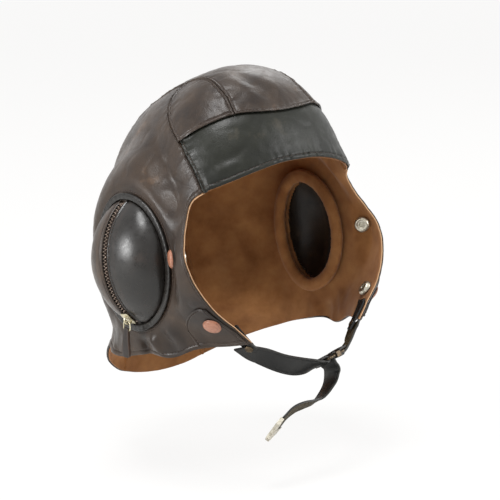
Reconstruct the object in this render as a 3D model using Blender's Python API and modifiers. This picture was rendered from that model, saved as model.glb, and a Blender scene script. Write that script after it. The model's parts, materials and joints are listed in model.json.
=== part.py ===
"""Leather flying helmet with zipped oval ear cups, mask snaps, goggle tabs and a chin strap.

Metres, +Z up. The face looks towards -Y and the wearer's right is -X. The origin is midway between
the two ear cups, where a head carries the helmet, and the face looks a little upwards.
"""
import math

import bmesh
import bpy
from mathutils import Matrix, Vector

# Head form, in the head's own frame: an oval dome over a bell shaped skirt
HALF_WIDTH = 0.0844
FRONT_REACH = 0.0655
BACK_REACH = 0.1497
CROWN_RISE = 0.1211
SKIRT_DROP = 0.100
WIDEST_FORWARD = 0.0413
WIDEST_HEIGHT = 0.0198
FULLNESS = 2.3
LEAN_BACK_ANGLE = math.radians(19.0)

# How far the skirt stands out from the dome's own width
FLARE = 0.024
RIPPLE = 0.0022
RIPPLE_COUNT = 9.0

# Sheet goods and fits
LEATHER = 0.0013
LINING = 0.0008
FIT_GAP = 0.0003
SEAM_GAP = 0.0007
LINING_GAP = 0.0009
LINING_SEAM_GAP = 0.0016
CUT_OVERRUN = 0.004

# Columns and rows of each panel
BAND_GRID = (16, 3)
STRIP_GRID = (7, 24)
PETAL_GRID = (5, 8)
FLANK_GRID = (19, 15)
PATCH_GRID = (6, 5)
DOME_GRID = (6, 14)
ROOT_GRID = (3, 5)

# Ear cups: egg shaped, narrower behind the zip
EAR_HALF_SPAN = 0.098
ZIP_BEHIND = 0.008
CUP_LEAN_ANGLE = math.radians(10.0)
CUP_LONG = 0.050
CUP_FRONT = 0.0425
CUP_REAR = 0.035
CUP_RISE = 0.028
CUP_FULLNESS = 2.3
CUP_END_SHARE = 0.985
ZIP_END_SHARE = 0.97
WELT_WIDTH = 0.0052
WELT_HEIGHT = 0.0032
FLAT_MARGIN = 0.0050
FLAT_FADE_FRONT = 0.012
FLAT_FADE_REAR = 0.045
FLAT_FADE_LONG = 0.042
EAR_HOLE_LONG = 0.040
EAR_HOLE_ACROSS = 0.028
PAD_GROW = -0.004
PAD_WIDTH = 0.014
PAD_HEIGHT = 0.010

# Zips
SLOT_WIDTH = 0.0068
TAPE_WIDTH = 0.0130
TAPE_THICKNESS = 0.0005
TAPE_DEPTH = 0.0022
TOOTH_PITCH = 0.0050
TOOTH_LENGTH = 0.0019
TOOTH_WIDTH = 0.0048
TOOTH_LAP = 0.0030
TOOTH_HEIGHT = 0.0018
STOP_LENGTH = 0.0026
STOP_WIDTH = 0.0062
SLIDER_LENGTH = 0.0130
SLIDER_WIDTH = 0.0092
SLIDER_HEIGHT = 0.0018
SLIDER_LIFT = 0.0007
BRIDGE_WIRE = 0.0007
BRIDGE_REACH = 0.0034
BRIDGE_RISE = 0.0036
RING_WIRE = 0.0006
RING_WIDTH = 0.0078
RING_DROP = 0.0072
PULL_LENGTH = 0.0240
PULL_TOP = 0.0048
PULL_FOOT = 0.0092
PULL_THICKNESS = 0.0030
PULL_HEAD = 0.0022

# Snap fasteners: enamelled caps, ring sockets, and the studs under the tabs
CAP_WIDTH = 0.0150
CAP_HEIGHT = 0.0030
CAP_LIP = 0.0009
SOCKET_WIDTH = 0.0126
SOCKET_HEIGHT = 0.0032
SOCKET_BORE = 0.0044
SOCKET_DEPTH = 0.0020
STUD_WIDTH = 0.0096
STUD_RIM = 0.0008
STUD_KNOB = 0.0040
STUD_HEIGHT = 0.0020

# Chin strap, its sewn roots and rivets
PATCH = 0.0011
PATCH_GAP = 0.0006
ROOT_THICKNESS = 0.0013
STRAP_WIDTH = 0.0170
STRAP_THICKNESS = 0.0016
STRAP_LIFT = 0.0003
STRAP_SETTLE_IN = 0.0055
STRAP_SETTLE_FORWARD = 0.0043
STRAP_SETTLE_DOWN = 0.0020
STRAP_BOW = 0.0065
STRAP_SAG = 0.0156
STRAP_START = 0.0090
RIVET_ALONG = 0.0035
RIVET_ASIDE = 0.0026
RIVET_HEAD = 0.0070
RIVET_RISE = 0.0015
RIVET_SHANK = 0.0026
RIVET_WASHER = 0.0056
RIVET_FOOT = 0.0007

# Friction buckle with its sliding bar, and the strap's free end
BUCKLE_LENGTH = 0.0180
BUCKLE_WIRE = 0.0011
ROLLER_WIRE = 0.0011
ROLLER_BLOCK = 0.0042
FOLD_LENGTH = 0.0060
TAIL_DROP = 0.0500
TAIL_SWAY = 0.0745
TIP_LENGTH = 0.0190
TIP_OVERHANG = 0.0004
TIP_THICKNESS = 0.0030
TIP_NOTCH = 0.0080
TIP_PRONG = 0.0012

# Tabs at the back for goggle strap and lead
TAB_WIDTH = 0.0150
TAB_LENGTH = 0.0520
TAB_THICKNESS = 0.0020
TAB_RISE = 0.0074
TAB_FITS = {"right_goggle_tab": 0.0003, "left_goggle_tab": 0.0003, "nape_lead_tab": 0.0009}
STUD_FIT_SHARE = 0.80
PANEL_SAG = 0.0008
TAB_CAP_WIDTH = 0.0128
TAB_ANGLES = {"right_goggle_tab": -171.0, "left_goggle_tab": 171.0, "nape_lead_tab": 180.0}
TAB_LEVEL_SHARES = {"right_goggle_tab": 0.40, "left_goggle_tab": 0.40, "nape_lead_tab": -0.10}
TAB_FOOT_SHARE = 0.86
TAB_BOW_SHARE = 0.74
TAB_SEAT_SHARES = (0.50, 0.74)
TAB_GRID = (12, 1)

# Seam lines: degrees round the head from the front, and the level as a share of CROWN_RISE above
# the widest place or of SKIRT_DROP below it
FACE_EDGE_SHARES = (
    (66.0, -1.02), (72.0, -0.80), (75.3, -0.57), (76.6, -0.37),
    (77.8, -0.17), (78.0, 0.02), (75.8, 0.14), (68.5, 0.185),
)
SIDE_SEAM_SHARES = (
    (68.5, 0.185), (71.5, 0.30), (76.0, 0.42), (82.0, 0.54),
    (92.5, 0.67), (103.0, 0.79), (109.5, 0.885), (108.4, 0.943),
)
BAND_END_SHARE = 3.0 / 7.0
STRIP_SEAM_SHARES = (
    (42.2, 0.632), (46.7, 0.78), (60.0, 0.90), (82.0, 0.941), (108.4, 0.943),
    (133.0, 0.93), (150.5, 0.885), (159.3, 0.781), (163.5, 0.618), (165.6, 0.41),
    (166.0, 0.15), (166.0, -0.20), (165.8, -0.50), (165.4, -0.78), (165.0, -0.99),
)
PETAL_TIP_SHARE = 4.0 / 14.0
BAND_TOP_SHARES = (
    (82.0, 0.54), (62.5, 0.602), (42.2, 0.632), (21.0, 0.618), (0.0, 0.61),
)
STRIP_FOOT_SHARE = 2.0 / 8.0
BROW_EDGE_SHARES = ((68.5, 0.185), (52.0, 0.212), (35.0, 0.245), (17.0, 0.270), (0.0, 0.274))
HEM_SHARES = (
    (66.0, -1.02), (81.0, -1.0), (97.0, -0.965), (112.0, -0.985),
    (126.0, -0.91), (140.0, -0.88), (153.0, -0.92), (165.0, -0.99),
)
NAPE_HEM_SHARES = ((165.0, -0.99), (172.0, -1.03), (180.0, -1.045))
CURL_SHARES = {"right": 0.16, "left": 0.0}
CURL_ANGLE = 148.0
CURL_REACH = 17.0
PATCH_FOOT_SHARES = ((68.0, -0.985), (82.0, -0.968), (96.5, -0.93))
PATCH_TOP_SHARES = ((76.4, -0.68), (81.0, -0.66), (87.0, -0.685), (92.5, -0.735), (95.2, -0.80))
PATCH_FACE_SHARES = ((68.0, -0.985), (73.2, -0.80), (76.4, -0.68))
PATCH_REAR_SHARES = ((96.5, -0.93), (96.2, -0.865), (95.2, -0.80))
ROOT_FOOT_SHARES = ((66.0, -1.096), (75.6, -1.094))
ROOT_TOP_SHARES = ((69.0, -0.88), (79.0, -0.88))
ROOT_FACE_SHARES = ((66.0, -1.096), (69.0, -0.88))
ROOT_REAR_SHARES = ((75.6, -1.094), (79.0, -0.88))
STRAP_HEM_SHARES = (73.8, -1.040)
STRAP_LEAVE_SHARES = (71.5, -1.090)
MASK_SNAP_SHARES = {"upper": (85.0, -0.241), "lower": (79.0, -0.80)}

# Chin strap between its settled ends: across, forward and down as shares of its half span, bow
# and sag
STRAP_RUN_SHARES = (
    (-1.0, 0.0, 0.0), (-0.68, 0.54, 0.47), (-0.37, 0.83, 0.80), (-0.093, 0.985, 0.965),
    (0.175, 1.0, 1.0), (0.412, 0.95, 0.92), (0.64, 0.77, 0.70), (0.845, 0.42, 0.34),
    (1.0, 0.0, 0.0),
)
STRAP_TURN_ANGLES = (54.0, 62.0, 66.0, 54.0, 30.0, 28.0, 30.0, 40.0, 48.0)
BUCKLE_RUN_SHARE = 7.0 / 12.0
# Strap's free end from the buckle: shares of TAIL_SWAY across and of TAIL_DROP down
TAIL_RUN_SHARES = (
    (0.0, 0.0), (0.04, 0.13), (0.0, 0.34), (-0.15, 0.55), (-0.29, 0.585),
    (-0.44, 0.60), (-0.58, 0.66), (-0.71, 0.79), (-0.84, 0.92), (-1.0, 1.07),
)
TAIL_TURN_ANGLES = (28.0, 28.0, 28.0, 30.0, 34.0, 42.0, 50.0, 56.0, 60.0, 60.0)
TAIL_START_SHARE = 0.05
TIP_START_SHARE = 0.78
# Tip's outline: shares of its half width across and of its length
TIP_SHARES = ((1.0, 0.0), (0.97, 0.34), (0.52, 0.88), (0.30, 1.0))

# Skirt flare at four stations round the head, as shares of FLARE at each level
FLARE_LEVEL_SHARES = (0.33, 0.18, 0.06, -0.08, -0.24, -0.40, -0.55, -0.72, -0.88, -1.10)
FACE_FLARE_SHARES = (0.0, 0.08, 0.33, 0.67, 0.98, 1.0, 0.80, 0.40, -0.25, -1.05)
EAR_FLARE_SHARES = (0.0, 0.08, 0.25, 0.46, 0.64, 0.68, 0.62, 0.46, 0.36, 0.40)
CORNER_FLARE_SHARES = (0.0, 0.0, 0.0, 0.0, 0.0, 0.0, 0.15, 0.95, 1.65, 1.90)
BACK_FLARE_SHARES = (0.0, 0.0, 0.0, 0.0, 0.0, -0.02, 0.0, 0.15, 0.42, 0.70)
FLARE_ANGLES = (76.0, 118.0, 146.0, 180.0)

SIDES = {"right": -1.0, "left": 1.0}
CENTRE = Vector((0.0, -WIDEST_FORWARD, WIDEST_HEIGHT))
HEAD_TURN = Matrix.Rotation(-LEAN_BACK_ANGLE, 3, "X")


def clear_scene():
    """Empty the scene and make the collections for the parts and the cutters"""
    for thing in list(bpy.data.objects):
        bpy.data.objects.remove(thing, do_unlink=True)
    parts = bpy.data.collections.new("flying_helmet")
    cutters = bpy.data.collections.new("cutters")
    bpy.context.scene.collection.children.link(parts)
    bpy.context.scene.collection.children.link(cutters)
    return parts, cutters


def make_material(name, colour, roughness, metallic=0.0):
    """A plain Principled material"""
    material = bpy.data.materials.new(name)
    material.use_nodes = True
    shader = material.node_tree.nodes["Principled BSDF"]
    shader.inputs["Base Color"].default_value = (*colour, 1.0)
    shader.inputs["Roughness"].default_value = roughness
    shader.inputs["Metallic"].default_value = metallic
    material.diffuse_color = (*colour, 1.0)
    return material


def add_part(name, mesh, material, smooth=True):
    """Link a mesh as a named part"""
    if smooth:
        mesh.shade_smooth()
        mesh.set_sharp_from_angle(angle=math.radians(40.0))
    part = bpy.data.objects.new(name, mesh)
    PARTS.objects.link(part)
    mesh.materials.clear()
    mesh.materials.append(material)
    return part


def add_cutter(name, mesh):
    """Link a mesh as a hidden cutter"""
    cutter = bpy.data.objects.new(name, mesh)
    CUTTERS.objects.link(cutter)
    cutter.hide_render = True
    cutter.display_type = "WIRE"
    return cutter


def cut(part, cutter, operation="DIFFERENCE"):
    """Put a Boolean on a part"""
    modifier = part.modifiers.new(cutter.name, "BOOLEAN")
    modifier.operation = operation
    modifier.object = cutter
    return modifier


def ease(value, start, end):
    """Share of the way from start to end, eased at both ends"""
    share = min(max((value - start) / (end - start), 0.0), 1.0)
    return share * share * (3.0 - 2.0 * share)


def through(points, share):
    """Smooth point at a share of the way along a row of points"""
    spans = len(points) - 1
    place = min(max(share, 0.0), 1.0) * spans
    index = min(int(place), spans - 1)
    step = place - index
    here = Vector(points[index])
    there = Vector(points[index + 1])
    before = Vector(points[index - 1]) if index > 0 else 2.0 * here - there
    after = Vector(points[index + 2]) if index + 2 <= spans else 2.0 * there - here
    leave = 0.5 * (there - before)
    arrive = 0.5 * (after - here)
    return (
        (2.0 * step**3 - 3.0 * step**2 + 1.0) * here
        + (step**3 - 2.0 * step**2 + step) * leave
        + (3.0 * step**2 - 2.0 * step**3) * there
        + (step**3 - step**2) * arrive
    )


def flare_share(shares, level):
    """Flare of one station at a level"""
    levels = FLARE_LEVEL_SHARES
    level = min(max(level, levels[-1]), levels[0])
    for index in range(len(levels) - 1):
        if level >= levels[index + 1]:
            step = (levels[index] - level) / (levels[index] - levels[index + 1])
            share = (index + step) / (len(levels) - 1)
            return through([(value, 0.0) for value in shares], share)[0]
    return shares[-1]


def flare_at(angle, level):
    """How far the skirt stands out at an angle round the head and a level"""
    stations = (FACE_FLARE_SHARES, EAR_FLARE_SHARES, CORNER_FLARE_SHARES, BACK_FLARE_SHARES)
    values = [flare_share(shares, level) for shares in stations]
    share = values[0]
    for index in range(1, len(values)):
        mix = ease(angle, FLARE_ANGLES[index - 1], FLARE_ANGLES[index])
        share += mix * (values[index] - values[index - 1])
    flute = RIPPLE * ease(-level, 0.45, 1.0) * math.cos(math.radians(RIPPLE_COUNT * (180.0 - angle)))
    return FLARE * share + flute * ease(angle, FLARE_ANGLES[0], FLARE_ANGLES[1])


def form_shape(reach):
    """Move a point, given from the form's centre in the head's frame, onto the form"""
    depth = FRONT_REACH if reach.y < 0.0 else BACK_REACH
    oval = abs(reach.x / HALF_WIDTH) ** FULLNESS + abs(reach.y / depth) ** FULLNESS
    if reach.z > 0.0:
        dome = (oval + (reach.z / CROWN_RISE) ** FULLNESS) ** (-1.0 / FULLNESS)
        point = reach * dome
        level = point.z / CROWN_RISE
    else:
        dome = oval ** (-1.0 / FULLNESS)
        point = Vector((reach.x * dome, reach.y * dome, reach.z))
        level = point.z / SKIRT_DROP
    angle = math.degrees(math.atan2(abs(point.x), -point.y))
    radius = math.hypot(point.x, point.y)
    if radius > 0.0:
        spread = 1.0 + flare_at(angle, level) / radius
        point.x *= spread
        point.y *= spread
    return point


def cup_axes(side):
    """The long, forward and outward directions of an ear cup"""
    long_way = Vector((0.0, math.sin(CUP_LEAN_ANGLE), math.cos(CUP_LEAN_ANGLE)))
    forward = Vector((0.0, -math.cos(CUP_LEAN_ANGLE), math.sin(CUP_LEAN_ANGLE)))
    return long_way, forward, Vector((side, 0.0, 0.0))


def cup_centre(side, out=0.0):
    """The zip's middle, moved out from the leather"""
    return Vector((side * (EAR_HALF_SPAN + out), ZIP_BEHIND, 0.0))


def egg_radius(turn, long_reach, front_reach, rear_reach):
    """Distance from the zip's middle to an egg outline, at a turn from forward to the top"""
    across = front_reach if math.cos(turn) > 0.0 else rear_reach
    return 1.0 / math.hypot(math.cos(turn) / across, math.sin(turn) / long_reach)


def flatten_at_ear(point):
    """Ease the leather onto the flat seat of the ear cup"""
    side = 1.0 if point.x > 0.0 else -1.0
    long_way, forward, _ = cup_axes(side)
    seat = point - cup_centre(side)
    along = seat.dot(long_way)
    ahead = seat.dot(forward)
    turn = math.atan2(along, ahead)
    rim = WELT_WIDTH + FLAT_MARGIN
    near = egg_radius(turn, CUP_LONG + rim, CUP_FRONT + rim, CUP_REAR + rim)
    far = near + egg_radius(turn, FLAT_FADE_LONG, FLAT_FADE_FRONT, FLAT_FADE_REAR)
    keep = ease(math.hypot(along, ahead), near, far)
    flat = side * EAR_HALF_SPAN
    return Vector((flat + keep * (point.x - flat), point.y, point.z))


def on_form(point):
    """The point of the leather's outer face nearest to a point beside it"""
    reach = HEAD_TURN.transposed() @ point - CENTRE
    return flatten_at_ear(HEAD_TURN @ (form_shape(reach) + CENTRE))


def head_point(angle, level):
    """Point of the leather's outer face at a signed angle round the head and a level share"""
    turn = math.radians(angle)
    depth = FRONT_REACH if math.cos(turn) > 0.0 else BACK_REACH
    x_share = abs(math.sin(turn)) / HALF_WIDTH
    y_share = abs(math.cos(turn)) / depth
    oval = (x_share**FULLNESS + y_share**FULLNESS) ** (-1.0 / FULLNESS)
    rise = level * (CROWN_RISE if level > 0.0 else SKIRT_DROP)
    narrow = (1.0 - max(level, 0.0) ** FULLNESS) ** (1.0 / FULLNESS)
    reach = Vector((math.sin(turn) * oval * narrow, -math.cos(turn) * oval * narrow, rise))
    return flatten_at_ear(HEAD_TURN @ (form_shape(reach) + CENTRE))


def outward_at(point, step=LEATHER):
    """Outward direction of the leather at a point on it"""
    centre = HEAD_TURN @ CENTRE
    away = (point - centre).normalized()
    first = away.orthogonal().normalized()
    second = away.cross(first)
    one = on_form(point + first * step) - on_form(point - first * step)
    two = on_form(point + second * step) - on_form(point - second * step)
    normal = one.cross(two).normalized()
    return normal if normal.dot(away) > 0.0 else -normal


def seam(shares, side=1.0, start=0.0, end=1.0):
    """A seam line on the form as a function of the share of its length"""
    def place(share):
        angle, level = through(shares, start + share * (end - start))
        return head_point(side * angle, level)
    return place


def hem(side_name, shares):
    """The hem of one side, with its curled rear corner"""
    side = SIDES[side_name]

    def place(share):
        angle, level = through(shares, share)
        lift = 1.0 - min(abs(angle - CURL_ANGLE) / CURL_REACH, 1.0)
        level += CURL_SHARES[side_name] * ease(lift, 0.0, 1.0)
        return head_point(side * angle, level)
    return place


def two_sided(shares, right_first=True):
    """A line that runs from the right side over the middle to the left side"""
    sign = -1.0 if right_first else 1.0
    row = [(sign * angle, level) for angle, level in shares]
    row += [(-angle, level) for angle, level in reversed(row[:-1])]

    def place(share):
        angle, level = through(row, share)
        return head_point(angle, level)
    return place


def part_of(place, start, end):
    """A stretch of a line"""
    return lambda share: place(start + share * (end - start))


def patch_point(edges, across, up):
    """Point inside four edges, blended from them and laid on the form"""
    bottom, top, left, right = edges
    ruled = (1.0 - up) * bottom(across) + up * top(across)
    ruled += (1.0 - across) * left(up) + across * right(up)
    corners = (1.0 - across) * ((1.0 - up) * bottom(0.0) + up * top(0.0))
    corners += across * ((1.0 - up) * bottom(1.0) + up * top(1.0))
    return on_form(ruled - corners)


def face_away(bm, centre):
    """Turn an open sheet's faces away from a point"""
    bm.normal_update()
    facing = sum(face.normal.dot(face.calc_center_median() - centre) for face in bm.faces)
    if facing < 0.0:
        bmesh.ops.reverse_faces(bm, faces=bm.faces)


def grid_mesh(name, columns, rows, place, away_from=None, tip=False):
    """A grid whose points are placed by a function of two shares"""
    bm = bmesh.new()
    bmesh.ops.create_grid(bm, x_segments=columns, y_segments=rows, size=0.5)
    for vertex in bm.verts:
        vertex.co = place(vertex.co.x + 0.5, vertex.co.y + 0.5)
    if tip:
        bmesh.ops.remove_doubles(bm, verts=bm.verts, dist=FIT_GAP / 10.0)
    face_away(bm, HEAD_TURN @ CENTRE if away_from is None else away_from)
    mesh = bpy.data.meshes.new(name)
    bm.to_mesh(mesh)
    bm.free()
    return mesh


def add_pivot(name, place, axis, pieces, carrier=None):
    """An empty on a joint's axis that carries the moving pieces"""
    pivot = bpy.data.objects.new(name, None)
    PARTS.objects.link(pivot)
    pivot.empty_display_size = RING_WIDTH
    turn = axis.to_track_quat("X", "Z").to_matrix().to_4x4()
    matrix = Matrix.Translation(place) @ turn
    if carrier:
        pivot.parent = carrier
        pivot.matrix_parent_inverse = carrier.matrix_world.inverted()
    pivot.matrix_basis = matrix
    bpy.context.view_layer.update()
    for piece_name in pieces:
        piece = bpy.data.objects[piece_name]
        piece.parent = pivot
        piece.matrix_parent_inverse = matrix.inverted()
    return pivot


def add_wall(part, thickness, offset=-1.0):
    """Give an open sheet its thickness"""
    wall = part.modifiers.new("wall", "SOLIDIFY")
    wall.thickness = thickness
    wall.offset = offset
    wall.use_even_offset = True
    return wall


def shift_sheet(part, distance):
    """Move an open sheet along its own outward direction"""
    shift = part.modifiers.new("shift", "DISPLACE")
    shift.mid_level = 0.0
    shift.strength = distance


def add_panel(name, edges, columns, rows, material, depth=0.0, thickness=LEATHER, tip=False):
    """A sewn sheet of leather or lining between four seam lines"""
    bottom, top, left, right = edges
    wide = max((bottom(1.0) - bottom(0.0)).length, (top(1.0) - top(0.0)).length)
    tall = min((left(1.0) - left(0.0)).length, (right(1.0) - right(0.0)).length)
    seam_gap = LINING_SEAM_GAP if depth else SEAM_GAP
    side_share = 0.5 * seam_gap / wide
    end_share = 0.5 * seam_gap / tall

    def place(across, up):
        if tip and up > 1.0 - end_share:
            return patch_point(edges, 0.5, 1.0 - 4.0 * end_share)
        across_in = side_share + across * (1.0 - 2.0 * side_share)
        up_in = end_share + up * (1.0 - (5.0 if tip else 2.0) * end_share)
        return patch_point(edges, across_in, up_in)

    part = add_part(name, grid_mesh(name, columns, rows, place, tip=tip), material)
    if depth:
        shift_sheet(part, -depth)
    add_wall(part, thickness)
    return part


def panel_edges():
    """The seam lines that bound every panel"""
    lines = {}
    for name, side in SIDES.items():
        lines[name, "face"] = seam(FACE_EDGE_SHARES, side)
        lines[name, "side"] = seam(SIDE_SEAM_SHARES, side)
        lines[name, "band_end"] = seam(SIDE_SEAM_SHARES, side, 0.0, BAND_END_SHARE)
        lines[name, "petal_side"] = seam(SIDE_SEAM_SHARES, side, BAND_END_SHARE, 1.0)
        lines[name, "strip"] = seam(STRIP_SEAM_SHARES, side)
        lines[name, "petal_strip"] = seam(STRIP_SEAM_SHARES, side, 0.0, PETAL_TIP_SHARE)
        lines[name, "back_strip"] = seam(STRIP_SEAM_SHARES, side, 1.0, PETAL_TIP_SHARE)
        lines[name, "hem"] = hem(name, HEM_SHARES)
    return lines


def nape_hem():
    """The hem across the back, from the right strip seam to the left one"""
    row = [(-angle, level) for angle, level in NAPE_HEM_SHARES]
    row += [(angle - 360.0, level) for angle, level in reversed(NAPE_HEM_SHARES[:-1])]

    def place(share):
        angle, level = through(row, share)
        return head_point(angle, level)
    return place


def build_shell():
    """Outer leather panels and their lining"""
    lines = panel_edges()
    band_top = two_sided(BAND_TOP_SHARES)
    brow_edge = two_sided(BROW_EDGE_SHARES)
    back_hem = nape_hem()
    inside = LEATHER + LINING_GAP

    band = (brow_edge, band_top, lines["right", "band_end"], lines["left", "band_end"])
    add_panel("brow_band", band, *BAND_GRID, LEATHERS["band"])
    add_panel("brow_lining", band, *BAND_GRID, LEATHERS["lining"], inside, LINING)
    front = part_of(band_top, STRIP_FOOT_SHARE, 1.0 - STRIP_FOOT_SHARE)
    strip = (front, back_hem, lines["right", "strip"], lines["left", "strip"])
    add_panel("crown_centre_strip", strip, *STRIP_GRID, LEATHERS["outer"])
    add_panel("crown_lining", strip, *STRIP_GRID, LEATHERS["lining"], inside, LINING)

    for name, side in SIDES.items():
        foot = (1.0, 1.0 - STRIP_FOOT_SHARE) if side > 0.0 else (0.0, STRIP_FOOT_SHARE)
        tip = lines[name, "side"](1.0)
        petal = (
            part_of(band_top, *foot), lambda share, tip=tip: tip,
            lines[name, "petal_side"], lines[name, "petal_strip"],
        )
        add_panel(f"{name}_crown_panel", petal, *PETAL_GRID, LEATHERS["outer"], tip=True)
        add_panel(
            f"{name}_crown_lining", petal, *PETAL_GRID, LEATHERS["lining"], inside, LINING,
            tip=True,
        )
        flank = (
            lines[name, "hem"], lines[name, "side"], lines[name, "face"],
            lines[name, "back_strip"],
        )
        opening = ear_opening_cutter(name)
        panel = add_panel(f"{name}_side_panel", flank, *FLANK_GRID, LEATHERS["outer"])
        cut(panel, opening)
        lining = add_panel(
            f"{name}_side_lining", flank, *FLANK_GRID, LEATHERS["lining"], inside, LINING
        )
        cut(lining, opening)


def ear_opening_cutter(name):
    """Oval plug that opens the leather and lining into the ear cup"""
    side = SIDES[name]
    long_way, forward, outward = cup_axes(side)
    middle = 0.5 * (CUP_FRONT - CUP_REAR)
    bm = bmesh.new()
    depth = 4.0 * CUT_OVERRUN
    bmesh.ops.create_cone(
        bm, cap_ends=True, segments=28, radius1=1.0, radius2=1.0, depth=1.0
    )
    for vertex in bm.verts:
        across, along, out = vertex.co
        vertex.co = (
            cup_centre(side) + forward * (middle + across * EAR_HOLE_ACROSS)
            + long_way * (along * EAR_HOLE_LONG) + outward * (out * depth)
        )
    bm.normal_update()
    bmesh.ops.recalc_face_normals(bm, faces=bm.faces)
    mesh = bpy.data.meshes.new(f"{name}_ear_opening")
    bm.to_mesh(mesh)
    bm.free()
    return add_cutter(f"{name}_ear_opening", mesh)


def egg_point(side, turn, grow, out):
    """Point over the ear cup's egg outline, grown outwards and moved off the leather"""
    long_way, forward, outward = cup_axes(side)
    reach = egg_radius(turn, CUP_LONG + grow, CUP_FRONT + grow, CUP_REAR + grow)
    flat = forward * (reach * math.cos(turn)) + long_way * (reach * math.sin(turn))
    return cup_centre(side) + flat + outward * out


def egg_ring(name, side, grow, half_width, base, height, material, segments=36, around=6):
    """A closed roll that follows the egg outline, on a torus primitive"""
    bpy.ops.mesh.primitive_torus_add(
        major_segments=segments, minor_segments=around, major_radius=2.0, minor_radius=1.0
    )
    ring = bpy.context.object
    mesh = ring.data
    for vertex in mesh.vertices:
        turn = math.atan2(vertex.co.y, vertex.co.x)
        swell = math.hypot(vertex.co.x, vertex.co.y) - 2.0
        rise = base + 0.5 * height * (1.0 + vertex.co.z)
        vertex.co = egg_point(side, turn, grow + half_width * swell, rise)
    bm = bmesh.new()
    bm.from_mesh(mesh)
    bm.normal_update()
    bmesh.ops.recalc_face_normals(bm, faces=bm.faces)
    bm.to_mesh(mesh)
    bm.free()
    bpy.data.objects.remove(ring, do_unlink=True)
    mesh.name = name
    return add_part(name, mesh, material)


def zip_radius():
    """Radius of the zip's arc over the cup"""
    return (CUP_LONG**2 + CUP_RISE**2) / (2.0 * CUP_RISE)


def zip_pivot(side):
    """Centre of the zip's arc"""
    return cup_centre(side, FIT_GAP + CUP_RISE - zip_radius())


def zip_point(side, turn, across, lift):
    """Point by the zip: turn up from its middle, across it and off the cup's surface"""
    long_way, forward, outward = cup_axes(side)
    reach = zip_radius() + lift
    spoke = outward * math.cos(turn) + long_way * math.sin(turn)
    return zip_pivot(side) + spoke * reach + forward * across


def dome_half(name, side, front, material):
    """Leather of the cup in front of the zip or behind it"""
    reach = CUP_FRONT if front else CUP_REAR
    ahead = 1.0 if front else -1.0
    end = math.asin(CUP_END_SHARE)
    long_way, forward, outward = cup_axes(side)
    radius = zip_radius()

    def place(across, up):
        turn = end * (2.0 * up - 1.0)
        along = CUP_LONG * math.sin(turn)
        rim = reach * math.cos(turn)
        slot = 0.5 * SLOT_WIDTH
        swing = 0.5 * math.pi * across
        start = math.asin(slot / rim)
        share = math.sin(start + (0.5 * math.pi - start) * swing / (0.5 * math.pi))
        rise = math.sqrt(radius**2 - along**2) - (radius - CUP_RISE)
        rise *= max(1.0 - share**CUP_FULLNESS, 0.0) ** (1.0 / CUP_FULLNESS)
        step = forward * (ahead * rim * share) + long_way * along
        return cup_centre(side, FIT_GAP) + step + outward * rise

    away_from = cup_centre(side, -CUP_RISE)
    part = add_part(name, grid_mesh(name, *DOME_GRID, place, away_from), material)
    add_wall(part, LEATHER)
    return part


def arc_bar(name, side, turns, width, low, high, material, steps):
    """A bar of square section that follows the zip's arc"""
    start, end = turns

    def place(around, up):
        turn = start + up * (end - start)
        across, lift = ((-0.5, high), (0.5, high))[round(around)]
        return zip_point(side, turn, across * width, lift)

    mesh = grid_mesh(name, 1, steps, place, zip_pivot(side))
    part = add_part(name, mesh, material, smooth=False)
    add_wall(part, high - low)
    return part


def zip_teeth(name, side, half_turn):
    """Interlocked teeth of a closed zip on alternate sides of the tape, and a stop at each end"""
    radius = zip_radius()
    stop_turn = STOP_LENGTH / radius
    toothed_turn = half_turn - stop_turn - TOOTH_LENGTH / radius
    count = 2 * int(radius * toothed_turn / TOOTH_PITCH)
    low = TAPE_DEPTH + 0.5 * TAPE_THICKNESS
    blocks = []
    for index in range(2 * count):
        turn = toothed_turn * ((index + 0.5) / count - 1.0)
        lean = 0.5 * (TOOTH_WIDTH - TOOTH_LAP) * (1.0 if index % 2 else -1.0)
        blocks.append((turn, lean, TOOTH_LAP, TOOTH_LENGTH))
    for end in (-1.0, 1.0):
        blocks.append((end * (half_turn - 0.6 * stop_turn), 0.0, STOP_WIDTH, STOP_LENGTH))
    bm = bmesh.new()
    for turn, lean, width, length in blocks:
        made = bmesh.ops.create_cube(bm, size=1.0)
        for vertex in made["verts"]:
            across, along, rise = vertex.co
            vertex.co = zip_point(
                side, turn + along * length / radius, lean + across * width,
                (rise + 0.5) * TOOTH_HEIGHT - low,
            )
    bm.normal_update()
    bmesh.ops.recalc_face_normals(bm, faces=bm.faces)
    mesh = bpy.data.meshes.new(name)
    bm.to_mesh(mesh)
    bm.free()
    return add_cutter(name, mesh)


def curve_part(name, points, radius, material, closed=False, resolution=2):
    """A round wire through a row of points"""
    curve = bpy.data.curves.new(name, "CURVE")
    curve.dimensions = "3D"
    curve.bevel_depth = radius
    curve.bevel_resolution = resolution
    curve.use_fill_caps = not closed
    spline = curve.splines.new("POLY")
    spline.points.add(len(points) - 1)
    for target, point in zip(spline.points, points):
        target.co = (*point, 1.0)
    spline.use_cyclic_u = closed
    wire = bpy.data.objects.new(name, curve)
    PARTS.objects.link(wire)
    curve.materials.append(material)
    return wire


def solid_mesh(wire):
    """Turn a curve object into a closed mesh, ready to be joined or cut, and remove it"""
    graph = bpy.context.evaluated_depsgraph_get()
    mesh = bpy.data.meshes.new_from_object(wire.evaluated_get(graph))
    mesh.transform(wire.matrix_world)
    bm = bmesh.new()
    bm.from_mesh(mesh)
    bmesh.ops.remove_doubles(bm, verts=bm.verts, dist=FIT_GAP / 10.0)
    bm.normal_update()
    bmesh.ops.recalc_face_normals(bm, faces=bm.faces)
    bm.to_mesh(mesh)
    bm.free()
    bpy.data.objects.remove(wire, do_unlink=True)
    return mesh


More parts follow.
